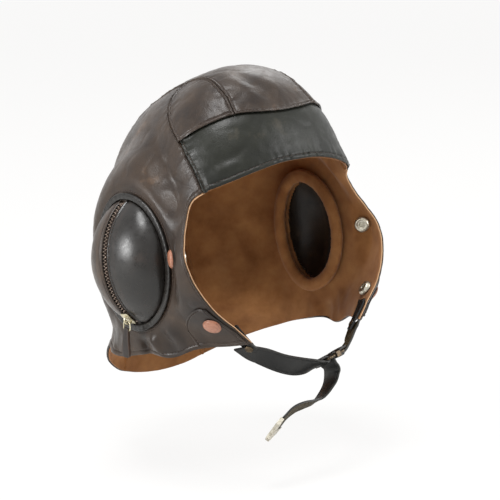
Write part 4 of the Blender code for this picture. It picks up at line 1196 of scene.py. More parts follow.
@dataclass(frozen=True)
class Sewing:
    """How one edge of a panel is sewn: its stitch row, its turned edge and its puckers"""

    stitch: float = 0.0
    roll: float = 0.0
    ridge: float = 0.0
    pucker: float = 0.0
    over: float = 0.0
    rise: float = 0.0

    @classmethod
    def mm(cls, **sizes: float) -> "Sewing":
        """A way of sewing, with its sizes given in millimetres"""
        return cls(**{name: size * MM for name, size in sizes.items()})

    def relief(self, gap: Array, run: Array, seed: float) -> Array:
        """Height of the sheet near this edge

        Args:
            gap: distance from the edge
            run: length along it
            seed: moves the puckers

        Returns:
            height over the form
        """
        lift = -self.roll * bell(gap, 0.6 * MM)
        lift += self.rise * bell(gap, 5.0 * MM)
        wave = np.stack((run / (4.4 * MM), gap / (24.0 * MM), np.full_like(gap, seed)), axis=-1)
        wave = noise_at(wave, 1.0) + 0.5 * noise_at(wave, 0.45, 3.0)
        reach = np.exp(-np.maximum(gap - self.stitch, 0.0) / (5.5 * MM))
        lift += self.pucker * wave * reach * eased(gap, 0.0, 1.2 * MM)
        if self.stitch:
            dips = 0.8 + 0.2 * np.cos(2.0 * np.pi * run / (2.9 * MM))
            lift -= 0.70 * MM * dips * bell(gap - self.stitch, 0.55 * MM)
            lift += self.ridge * bell(gap - 0.48 * self.stitch, 0.42 * self.stitch)
        return lift


@dataclass
class Panel:
    """A cut and sewn sheet between four lines on the form"""

    name: str
    foot: Line
    top: Line
    left: Line
    right: Line
    sewing: dict[Edge, Sewing]
    finish: str = "helmet"
    depth: float = 0.0
    thickness: float = 1.3 * MM
    spacing: float = 1.9 * MM
    opening: bool = False
    ear_hole: Sizes = (29.0 * MM, 41.0 * MM)
    edge_steps: tuple = (0.0, 0.3, 0.7, 1.1, 1.5, 1.9, 2.3, 2.7, 3.1, 3.7, 4.5, 5.6, 7.0)

    def spread(self, across: Array, up: Array) -> Array:
        """Points blended from the four edges, before they are laid on the form

        Args:
            across: shares across the sheet
            up: shares up the sheet

        Returns:
            the points
        """
        a, u = across[..., None], up[..., None]
        ruled = (1.0 - u) * self.foot(across) + u * self.top(across)
        ruled = ruled + (1.0 - a) * self.left(up) + a * self.right(up)
        ends = np.array((0.0, 1.0))
        low, high = self.foot(ends), self.top(ends)
        corners = (1.0 - a) * ((1.0 - u) * low[0] + u * high[0])
        corners = corners + a * ((1.0 - u) * low[1] + u * high[1])
        return ruled - corners

    def placed(self, across: Array, up: Array) -> Array:
        """Points on the form, also a little past the edges

        Args:
            across: shares across the sheet
            up: shares up the sheet

        Returns:
            the points
        """
        inside_a, inside_u = np.clip(across, 0.0, 1.0), np.clip(up, 0.0, 1.0)
        points = FORM.laid(self.spread(inside_a, inside_u))
        past = np.abs(across - inside_a) + np.abs(up - inside_u)
        if past.max() > 0.0:
            step = 0.01
            back_a = np.clip(inside_a, step, 1.0 - step)
            back_u = np.clip(inside_u, step, 1.0 - step)
            inner = FORM.laid(self.spread(
                np.where(across == inside_a, inside_a, back_a),
                np.where(up == inside_u, inside_u, back_u),
            ))
            reach = (past / step)[..., None]
            points = FORM.laid(points + (points - inner) * reach)
        return points

    def lengths(self, count: int = 25) -> Arrays:
        """Widths of the rows and heights of the columns, at even shares

        Args:
            count: of lines each way

        Returns:
            the shares, widths and heights
        """
        share = np.linspace(0.0, 1.0, count)
        across, up = np.meshgrid(share, share)
        points = FORM.laid(self.spread(across, up))
        wide = np.linalg.norm(np.diff(points, axis=1), axis=-1).sum(axis=1)
        tall = np.linalg.norm(np.diff(points, axis=0), axis=-1).sum(axis=0)
        return share, wide, tall

    def steps(self, length: Array, count: int, start: float, end: float) -> Array:
        """Distances from one edge to the other, close together at both

        Args:
            length: of each line
            count: of even steps between the close ones
            start: how far the first point lies past the edge
            end: how far the last one does

        Returns:
            distances with one row for each step
        """
        close = np.array(self.edge_steps) * MM
        reach = close[-1]
        squeeze = np.minimum(1.0, 0.42 * length / reach)
        near = close[:, None] * squeeze[None, :]
        share = np.linspace(0.0, 1.0, count + 2)[1:-1, None]
        middle = near[-1] + share * (length - 2.0 * near[-1])
        taper = (1.0 - close / reach)[:, None]
        return np.concatenate((
            near - start * taper, middle, length - near[::-1] + end * taper[::-1],
        ))

    def shape(self) -> dict[str, Array]:
        """Lay the sheet out

        Returns:
            its points, normals and wear
        """
        sew = {edge: self.sewing.get(edge, Sewing()) for edge in Edge}
        share, wide, tall = self.lengths()
        columns = max(int(wide.max() / self.spacing) - 6, 4)
        rows = max(int(tall.max() / self.spacing) - 6, 4)
        mean_steps = self.steps(np.array([wide.mean()]), columns, 0.0, 0.0)[:, 0] / wide.mean()
        mean_rises = self.steps(np.array([tall.mean()]), rows, 0.0, 0.0)[:, 0] / tall.mean()
        widths = np.interp(mean_rises, share, wide)
        heights = np.interp(mean_steps, share, tall)
        run = self.steps(widths, columns, sew[Edge.LEFT].over, sew[Edge.RIGHT].over).T
        rise = self.steps(heights, rows, sew[Edge.FOOT].over, sew[Edge.TOP].over)
        points = self.placed(run / widths[:, None], rise / heights[None, :])
        normals = FORM.outward(points)
        gaps = {
            Edge.LEFT: run, Edge.RIGHT: widths[:, None] - run,
            Edge.FOOT: rise, Edge.TOP: heights[None, :] - rise,
        }
        lift = ruffle(points)
        wear_and_highlight = np.zeros(points.shape[:2])
        for number, (edge, sewn) in enumerate(sew.items()):
            gap = np.maximum(gaps[edge], 0.0)
            along = rise if edge in (Edge.LEFT, Edge.RIGHT) else run
            lift += sewn.relief(gap, along, 7.0 * number + len(self.name))
            if sewn.stitch:
                pale_share = bell(gap - 0.5 * sewn.stitch, 1.1 * MM)
                wear_and_highlight = np.maximum(wear_and_highlight, 0.45 * pale_share)
            if sewn.over > 0.0 and sewn.rise > 0.0:
                wear_and_highlight = np.maximum(wear_and_highlight, bell(gap, 0.8 * MM))
        wear_and_highlight = np.maximum(wear_and_highlight, 0.35 * np.clip(lift / (1.6 * MM), 0.0, 1.0))
        return {
            "points": points + normals * (lift - self.depth)[..., None],
            "normals": normals, "wear_and_highlight": wear_and_highlight,
        }

    def build(self) -> None:
        """Make the sheet, its thickness and its stitch rows"""
        laid = self.shape()
        sheet = grid_sheet(laid["points"], laid["wear_and_highlight"])
        if self.opening:
            self.open_ear(sheet)
        face_from(sheet, FORM.middle)
        sheet.data.materials.append(finish_of(self.finish))
        give_wall(sheet, self.thickness)
        smooth(sheet, 50.0)
        keep(sheet, f"sewn_{self.name}", self.finish, ROOT, (self.name,))
        self.sew(laid)

    def open_ear(self, sheet: Piece) -> None:
        """Cut the oval way into the ear cup

        Args:
            sheet: the open sheet
        """
        turn, reach = FORM.ear_place(points_of(sheet))
        middle = 0.5 * (FORM.cup_front - FORM.cup_rear)
        ahead, along = reach * np.cos(turn) - middle, reach * np.sin(turn)
        inside = (ahead / self.ear_hole[0]) ** 2 + (along / self.ear_hole[1]) ** 2 < 1.0
        activate(sheet)
        bpy.ops.object.mode_set(mode="EDIT")
        bpy.ops.mesh.select_all(action="DESELECT")
        bpy.ops.object.mode_set(mode="OBJECT")
        sheet.data.vertices.foreach_set("select", inside)
        bpy.ops.object.mode_set(mode="EDIT")
        bpy.ops.mesh.select_mode(type="VERT")
        bpy.ops.mesh.delete(type="VERT")
        bpy.ops.object.mode_set(mode="OBJECT")

    def sew(self, laid: dict[str, Array]) -> None:
        """Put thread along the panel's stitch rows

        Args:
            laid: the sheet's points and normals
        """
        rows = []
        ends = slice(5, -5)
        for edge, sewn in self.sewing.items():
            if not sewn.stitch:
                continue
            step = int(np.argmin(np.abs(np.array(self.edge_steps) * MM - sewn.stitch)))
            if edge in (Edge.RIGHT, Edge.TOP):
                step = -1 - step
            pick = (ends, step) if edge in (Edge.LEFT, Edge.RIGHT) else (step, ends)
            rows.append((laid["points"][pick], laid["normals"][pick]))
        Stitching().rows(f"{self.name}_stitches", rows)


def turned(profile: Rows, seat: "Seat", steps: int = 40) -> Piece:
    """Turn a closed shape from its profile

    Args:
        profile: radius and height in metres, from the axis out and back to it
        seat: where its foot's middle stands
        steps: faces round it

    Returns:
        the closed shape
    """
    rows = np.asarray(profile, dtype=float)
    turn = np.linspace(0.0, math.tau, steps + 1)
    ring = np.cos(turn)[:, None] * seat.first + np.sin(turn)[:, None] * seat.second
    points = seat.place + rows[:, None, :1] * ring + rows[:, None, 1:] * seat.out
    piece = grid_sheet(points)
    weld(piece)
    smooth(piece)
    return piece


def tube(path: Array, radius: float, square: Array, closed: bool = False,
         around: int = 14, flat: float = 1.0) -> Piece:
    """A round wire along a path that lies in one plane

    Args:
        path: its points
        radius: of the wire
        square: direction square to the plane
        closed: whether the path is a ring
        around: faces round the wire
        flat: its thickness in the plane, as a share of its width

    Returns:
        the closed wire
    """
    path = np.vstack((path, path[:1])) if closed else np.vstack((path[:1], path, path[-1:]))
    ahead = np.roll(path, -1, axis=0) - np.roll(path, 1, axis=0)
    if closed:
        ahead[0] = ahead[-1] = path[1] - path[-2]
    else:
        ahead[0] = ahead[1] = path[2] - path[1]
        ahead[-1] = ahead[-2] = path[-2] - path[-3]
    side = unit(np.cross(unit(ahead), square))
    turn = np.linspace(0.0, math.tau, around + 1)[None, :, None]
    reach = np.full((len(path), 1, 1), radius)
    if not closed:
        reach[0] = reach[-1] = 0.0
    ring = side[:, None, :] * np.cos(turn) * flat + square * np.sin(turn)
    piece = grid_sheet(path[:, None, :] + ring * reach)
    weld(piece)
    piece.data.shade_smooth()
    return piece


def torus(around: int, section: int) -> tuple[Piece, Array, Array, Array]:
    """A ring primitive to be laid round an ear cup

    Args:
        around: points round the ring
        section: points round its section

    Returns:
        the ring, and for each point its turn and its place in the section, from -1 to 1
    """
    deselect()
    bpy.ops.mesh.primitive_torus_add(
        major_segments=around, minor_segments=section, major_radius=2.0, minor_radius=1.0
    )
    ring = bpy.context.object
    x, y, rise = points_of(ring).T
    return ring, np.arctan2(y, x), np.hypot(x, y) - 2.0, rise


def bevelled(piece: Piece, width: float, segments: int = 2,
             degrees: float = 40.0) -> None:
    """Round a piece's sharp edges

    Args:
        piece: the object
        width: of the rounding
        segments: faces across it
        degrees: least angle of an edge that is rounded
    """
    soften = piece.modifiers.new("soften", "BEVEL")
    soften.width = width
    soften.segments = segments
    soften.limit_method = "ANGLE"
    soften.angle_limit = math.radians(degrees)
    apply_modifiers(piece)


@dataclass(frozen=True)
class Seat:
    """A place with three directions, the last one away from what carries the piece"""

    place: Array
    first: Array
    second: Array
    out: Array

    @classmethod
    def facing(cls, place: Array, out: Array) -> "Seat":
        """A seat whose own turn doesn't matter

        Args:
            place: its middle
            out: the direction it faces

        Returns:
            the seat
        """
        helper = np.array((0.0, 0.0, 1.0)) if abs(out[2]) < 0.9 else np.array((1.0, 0.0, 0.0))
        first = unit(np.cross(out, helper))
        return cls(place, first, np.cross(out, first), out)

    @classmethod
    def on_leather(cls, point: Array, radius: float, lift: float, inside: bool = False,
                   sag: float = 0.8 * MM) -> "Seat":
        """Seat a round fitting on the leather's outside, or on the lining inside

        Args:
            point: on the leather's outer face
            radius: of the fitting's foot
            lift: its height off the leather's face
            inside: whether it faces the head
            sag: room for the leather's own sag between its threads

        Returns:
            the seat
        """
        out = FORM.outward(point[None], max(radius, 1.3 * MM))[0]
        base = cls.facing(point, out)
        turn = np.arange(12)[:, None] * math.tau / 12.0
        ring = np.cos(turn) * base.first + np.sin(turn) * base.second
        rims = point + np.concatenate((ring, 0.5 * ring)) * radius
        heights = np.append((FORM.laid(rims) - point) @ out, 0.0)
        if inside:
            return cls.facing(point + out * (heights.min() - lift - sag), -out)
        return cls.facing(point + out * (heights.max() + lift + sag), out)


@dataclass(frozen=True)
class Gauges:
    """Leather, lining and fit thicknesses"""

    leather: float = 1.3 * MM
    lining: float = 0.8 * MM
    lining_gap: float = 0.9 * MM
    fit: float = 0.3 * MM
    patch: float = 1.1 * MM
    patch_gap: float = 0.6 * MM

    @property
    def inside(self) -> float:
        """Depth of the lining's inner face, with a fit"""
        return self.leather + self.lining_gap + self.lining + self.fit


GAUGES = Gauges()


@dataclass
class Shell:
    """Outer leather: brow band, crown strip, crown panels, side panels and cheek patches"""

    plain: Sewing = Sewing.mm(stitch=2.3, roll=1.0, ridge=0.55, pucker=0.8)
    hem: Sewing = Sewing.mm(stitch=3.7, roll=0.35, ridge=0.25, pucker=0.35)
    face: Sewing = Sewing.mm(stitch=3.7, roll=0.25, ridge=0.20, pucker=0.18)
    brow: Sewing = Sewing.mm(stitch=3.7, roll=0.90, ridge=0.10, pucker=1.3)
    lapped: Sewing = Sewing.mm(
        stitch=2.3, roll=0.1, ridge=0.35, pucker=0.8, rise=0.9,
    )
    tucked: Sewing = Sewing.mm(roll=0.4, rise=-0.9, over=1.2)
    gathered: Sewing = Sewing.mm(stitch=2.3, roll=1.1, ridge=0.55, pucker=1.9)
    patch: Sewing = Sewing.mm(stitch=2.3, roll=0.35, ridge=0.15, pucker=0.12)

    def lines(self, side: float, name: str) -> dict[str, Line]:
        """Seam lines of one side

        Args:
            side: -1 for the wearer's right, 1 for the left
            name: which side, right or left

        Returns:
            the lines by name
        """
        curl = dict(PATTERN.curls)[name]
        return {
            "face": SeamLine(PATTERN.face, side),
            "side": SeamLine(PATTERN.flank, side),
            "band_end": SeamLine(PATTERN.flank, side, 0.0, PATTERN.band_end),
            "back_strip": SeamLine(PATTERN.strip, side, 1.0, PATTERN.petal_tip),
            "strip": SeamLine(PATTERN.strip, side),
            "hem": SeamLine(PATTERN.hem, side, curl=curl),
        }

    def band(self) -> Lines:
        """Edges of the brow band

        Returns:
            foot, top, left and right edge
        """
        return (
            SeamLine(mirrored(PATTERN.brow)), SeamLine(mirrored(PATTERN.band_top)),
            self.lines(-1.0, "right")["band_end"], self.lines(1.0, "left")["band_end"],
        )

    def strip(self) -> Lines:
        """Edges of the strip over the crown

        Returns:
            foot, top, left and right edge
        """
        foot = PATTERN.strip_foot
        return (
            SeamLine(mirrored(PATTERN.band_top), start=foot, end=1.0 - foot), PATTERN.nape_hem(),
            self.lines(-1.0, "right")["strip"], self.lines(1.0, "left")["strip"],
        )

    def petal(self, side: float, short: float = 0.985) -> Lines:
        """Edges of a crown panel, which stops just short of its point

        Args:
            side: -1 for the wearer's right, 1 for the left
            short: share of its length at which it stops

        Returns:
            foot, top, left and right edge
        """
        foot = (1.0, 1.0 - PATTERN.strip_foot) if side > 0.0 else (0.0, PATTERN.strip_foot)
        end = PATTERN.band_end + short * (1.0 - PATTERN.band_end)
        rear = SeamLine(PATTERN.flank, side, PATTERN.band_end, end)
        front = SeamLine(PATTERN.strip, side, 0.0, short * PATTERN.petal_tip)
        ends = rear(np.array([1.0])), front(np.array([1.0]))

        def tip(share: Array) -> Array:
            """The short line at the point"""
            part = np.asarray(share, dtype=float)[..., None]
            return (1.0 - part) * ends[0][0] + part * ends[1][0]

        return SeamLine(mirrored(PATTERN.band_top), start=foot[0], end=foot[1]), tip, rear, front

    def flank(self, side: float, name: str) -> Lines:
        """Edges of a side panel"""
        lines = self.lines(side, name)
        return lines["hem"], lines["side"], lines["face"], lines["back_strip"]

    def build(self) -> None:
        """Make every outer panel"""
        Panel("brow_band", *self.band(), {
            Edge.FOOT: self.brow, Edge.TOP: self.tucked,
            Edge.LEFT: self.gathered, Edge.RIGHT: self.gathered,
        }, finish="band").build()
        Panel("crown_centre_strip", *self.strip(), {
            Edge.FOOT: self.lapped, Edge.TOP: self.hem, Edge.LEFT: self.plain,
            Edge.RIGHT: self.plain,
        }).build()
        for name, side in SIDES.items():
            Panel(f"{name}_crown_panel", *self.petal(side), {
                Edge.FOOT: self.lapped, Edge.LEFT: self.plain, Edge.RIGHT: self.plain,
            }).build()
            Panel(f"{name}_side_panel", *self.flank(side, name), {
                Edge.FOOT: self.hem, Edge.TOP: self.plain, Edge.LEFT: self.face,
                Edge.RIGHT: self.plain,
            }, opening=True).build()
            Panel(
                f"{name}_cheek_patch", *(SeamLine(row, side) for row in PATTERN.patch),
                {edge: self.patch for edge in Edge},
                depth=-GAUGES.patch_gap - GAUGES.patch, thickness=GAUGES.patch,
            ).build()


@dataclass
class Lining:
    """Chamois lining, whose cut edge shows as a pale line round the face"""

    seam: Sewing = Sewing.mm(roll=1.3, pucker=0.25, over=0.4)
    face: Sewing = Sewing.mm(over=0.45, rise=0.9, pucker=0.15)
    hidden: Sewing = Sewing.mm(over=-0.5)
    brow: Sewing = Sewing.mm(over=-0.2)

    def sheet(self, name: str, lines: tuple, sewing: dict[Edge, Sewing],
              opening: bool = False) -> None:
        """Make one lining panel

        Args:
            name: the node's name
            lines: its foot, top, left and right edge
            sewing: how its edges are sewn
            opening: whether it has the way into the cup
        """
        Panel(name, *lines, sewing, finish="chamois",
              depth=GAUGES.leather + GAUGES.lining_gap, thickness=GAUGES.lining,
              opening=opening, spacing=2.4 * MM).build()

    def build(self) -> None:
        """Make every lining panel"""
        shell = Shell()
        sides = {Edge.LEFT: self.seam, Edge.RIGHT: self.seam}
        self.sheet("brow_lining", shell.band(), {
            Edge.FOOT: self.brow, Edge.TOP: self.seam, **sides,
        })
        self.sheet("crown_lining", shell.strip(), {
            Edge.FOOT: self.seam, Edge.TOP: self.hidden, **sides,
        })
        for name, side in SIDES.items():
            self.sheet(f"{name}_crown_lining", shell.petal(side), {Edge.FOOT: self.seam, **sides})
            self.sheet(f"{name}_side_lining", shell.flank(side, name), {
                Edge.FOOT: self.hidden, Edge.TOP: self.seam, Edge.LEFT: self.face,
                Edge.RIGHT: self.seam,
            }, opening=True)


@dataclass
class EarCup:
    """One egg shaped ear cup: two moulded halves beside the zip, a welt, and a pad inside"""

    name: str
    side: float
    rise: float = 28.0 * MM
    fullness: float = 2.3
    end_share: float = 0.992
    slot: float = 6.8 * MM
    welt_width: float = 5.2 * MM
    welt_height: float = 2.7 * MM
    pad_grow: float = -4.0 * MM
    pad_width: float = 14.0 * MM
    pad_height: float = 10.0 * MM
    edge: Sewing = Sewing.mm(stitch=2.3, roll=0.55, ridge=0.35, pucker=0.16)
    rim: Sewing = Sewing.mm(roll=0.7, pucker=0.35)
    close_steps: tuple = (0.0, 0.35, 0.8, 1.2, 1.6, 2.0, 2.3, 2.6, 3.0, 3.6, 4.4, 5.6)

    @property
    def radius(self) -> float:
        """Radius of the zip's arc over the cup"""
        return (FORM.cup_long**2 + self.rise**2) / (2.0 * self.rise)

    @property
    def pivot(self) -> Array:
        """Centre of the zip's arc"""
        return FORM.cup_centre(self.side, GAUGES.fit + self.rise - self.radius)

    def over(self, turn: Array, across: Array, lift: Array) -> Array:
        """Points by the zip: turn up from its middle, across it and off the cup's surface

        Args:
            turn: up from the zip's middle
            across: distance across the zip
            lift: distance off the surface

        Returns:
            the points
        """
        turn, across, lift = np.broadcast_arrays(turn, across, lift)
        long_way, forward, outward = FORM.cup_axes(self.side)
        spoke = np.cos(turn)[..., None] * outward + np.sin(turn)[..., None] * long_way
        return self.pivot + spoke * (self.radius + lift)[..., None] + across[..., None] * forward

    def egg(self, turn: Array, grow: Array, out: Array) -> Array:
        """Points over the cup's outline, grown outwards and moved off the leather

        Args:
            turn: angles from forward to the top
            grow: how far the outline is grown
            out: distance off the leather

        Returns:
            the points
        """
        turn, grow, out = np.broadcast_arrays(turn, grow, out)
        long_way, forward, outward = FORM.cup_axes(self.side)
        reach = FORM.cup_radius(turn, grow)
        flat = (reach * np.cos(turn))[..., None] * forward
        flat = flat + (reach * np.sin(turn))[..., None] * long_way
        return FORM.cup_centre(self.side) + flat + out[..., None] * outward

    def half(self, front: bool) -> None:
        """Model the leather in front of the zip or behind it

        Args:
            front: whether it is the front half
        """
        reach = FORM.cup_front if front else FORM.cup_rear
        ahead = 1.0 if front else -1.0
        long_way, forward, outward = FORM.cup_axes(self.side)
        length = 1.42 * reach
        near = np.array(self.close_steps) * MM / length
        across = np.concatenate((near, np.linspace(near[-1], 1.0, 34)[1:]))
        up = 0.5 - 0.5 * np.cos(np.pi * np.linspace(0.06, 0.94, 84))
        up = (up - up[0]) / (up[-1] - up[0])
        end = math.asin(self.end_share)
        turn = end * (2.0 * up - 1.0)
        along = FORM.cup_long * np.sin(turn)[:, None]
        rim = reach * np.cos(turn)[:, None]
        start = np.arcsin(0.5 * self.slot / rim)
        share = np.sin(start + (0.5 * math.pi - start) * across[None, :])
        lift = np.sqrt(self.radius**2 - along**2) - (self.radius - self.rise)
        lift = lift * np.maximum(1.0 - share**self.fullness, 0.0) ** (1.0 / self.fullness)
        points = FORM.cup_centre(self.side, GAUGES.fit) + lift[..., None] * outward
        points = points + (ahead * rim * share)[..., None] * forward + along[..., None] * long_way
        normals = grid_normals(points, FORM.cup_centre(self.side, -self.rise))
        gap = np.concatenate((np.zeros((len(up), 1)), np.cumsum(
            np.linalg.norm(np.diff(points, axis=1), axis=-1), axis=1)), axis=1)
        run = np.concatenate((np.zeros((1, len(across))), np.cumsum(
            np.linalg.norm(np.diff(points, axis=0), axis=-1), axis=0)), axis=0)
        relief = self.edge.relief(gap, run, 3.0 * ahead + self.side)
        far = gap[:, -1:] - gap
        relief += self.rim.relief(far, run, 5.0 * ahead + self.side)
        relief += 0.45 * MM * noise_at(points, 26.0 * MM, 2.0) * eased(far, 0.0, 8.0 * MM)
        relief *= eased(np.minimum(run, run[-1:] - run), -1.0 * MM, 5.0 * MM)
        wear_and_highlight = 0.5 * bell(gap - 1.1 * MM, 1.0 * MM)
        # About 7 mm beside the zip a band of paler colour is a painted highlight; just by the slot
        # it is worn
        wear_and_highlight = np.maximum(wear_and_highlight, 0.7 * bell(gap - 7.0 * MM, 3.5 * MM))
        laid = points + normals * relief[..., None]
        sheet = grid_sheet(laid, wear_and_highlight)
        face_from(sheet, FORM.cup_centre(self.side, -self.rise))
        name = f"{self.name}_ear_cup_{'front' if front else 'rear'}"
        finish = "cup" if front else "helmet"
        sheet.data.materials.append(finish_of(finish))
        give_wall(sheet, GAUGES.leather)
        smooth(sheet, 50.0)
        keep(sheet, f"moulded_{name}", finish, ROOT, (name,))
        step = self.close_steps.index(2.3)
        Stitching().rows(f"{name}_stitches", [(laid[4:-4, step], normals[4:-4, step])])

    def welt(self) -> None:
        """Model the padded roll that joins the cup to the side panel"""
        ring, turn, *section = torus(220, 18)
        swell, rise = (np.sign(v) * np.abs(v) ** 0.5 for v in section)
        pulls = 0.16 * MM * np.cos(64.0 * turn + 2.0 * np.sin(5.0 * turn)) * np.maximum(rise, 0.0)
        grow = 0.5 * self.welt_width + GAUGES.fit + 0.5 * self.welt_width * swell
        height = GAUGES.fit + 0.5 * self.welt_height * (1.0 + rise) + pulls
        points = self.egg(turn, grow, height)
        set_points(ring, points)
        weld(ring)
        ring.data.shade_smooth()
        keep(ring, f"{self.name}_corded_welt", "cup", ROOT, (f"{self.name}_ear_cup_welt",),
             Slot.HELMET)
        turn = np.linspace(0.0, math.tau, 240)
        _, _, outward = FORM.cup_axes(self.side)
        square = np.broadcast_to(outward, (len(turn), 3))
        row = self.egg(turn, self.welt_width + 2.0 * MM, 0.25 * MM)
        Stitching().rows(f"{self.name}_welt_stitches", [(row, square)])

    def pad(self) -> None:
        """Swell the pad that the ear rests against"""
        ring, turn, swell, rise = torus(96, 16)
        grow = self.pad_grow + 0.45 * self.pad_width * swell
        middle = -GAUGES.inside - 0.5 * self.pad_height
        points = self.egg(turn, grow, middle + 0.45 * self.pad_height * rise)
        set_points(ring, points)
        weld(ring)
        puff(ring, 1.4 * MM, 3.0 * MM)
        points = points_of(ring)
        turn, reach = FORM.ear_place(points)
        line = FORM.cup_radius(turn, self.pad_grow)
        seam = bell(reach - line - 3.0 * MM, 0.8 * MM)
        pinch = np.abs(np.cos(26.0 * turn + 1.3 * np.sin(3.0 * turn))) ** 10
        ease = 0.5 * MM * seam + 0.45 * MM * pinch * eased(reach - line, 4.0 * MM, -4.0 * MM)
        inward = self.side * eased(
            np.abs(points[:, 0]), FORM.ear_half_span - GAUGES.inside - 2.0 * MM,
            FORM.ear_half_span - GAUGES.inside - 7.0 * MM,
        )
        points[:, 0] += ease * inward
        set_points(ring, points)
        ring.data.shade_smooth()
        keep(ring, f"{self.name}_padded_roll", "chamois", ROOT,
             (f"{self.name}_ear_pad",))

    def build(self) -> None:
        """Make the cup"""
        self.half(True)
        self.half(False)
        self.welt()
        self.pad()


def puff(piece: Piece, cap: float, voxel: float, pressure: float = 4.0, frames: int = 20) -> None:
    """Swell a padded piece with a short cloth simulation

    Args:
        piece: a closed shape, a little smaller than the pad
        cap: how far a point may move
        voxel: size of the even mesh that swells
        pressure: inside the pad
        frames: length of the simulation
    """
    even = piece.modifiers.new("even", "REMESH")
    even.mode = "VOXEL"
    even.voxel_size = voxel
    apply_modifiers(piece)
    before = points_of(piece)
    cloth = piece.modifiers.new("swell", "CLOTH")
    cloth.settings.use_pressure = True
    cloth.settings.uniform_pressure_force = pressure
    cloth.settings.effector_weights.gravity = 0.0
    for step in range(1, frames + 1):
        bpy.context.scene.frame_set(step)
    apply_modifiers(piece)
    move = points_of(piece) - before
    size = np.linalg.norm(move, axis=-1, keepdims=True)
    move *= np.minimum(1.0, cap / np.maximum(size, 1e-9))
    set_points(piece, before + move)
    bpy.context.scene.frame_set(1)
    finer = piece.modifiers.new("finer", "SUBSURF")
    finer.levels = finer.render_levels = 1
    apply_modifiers(piece)


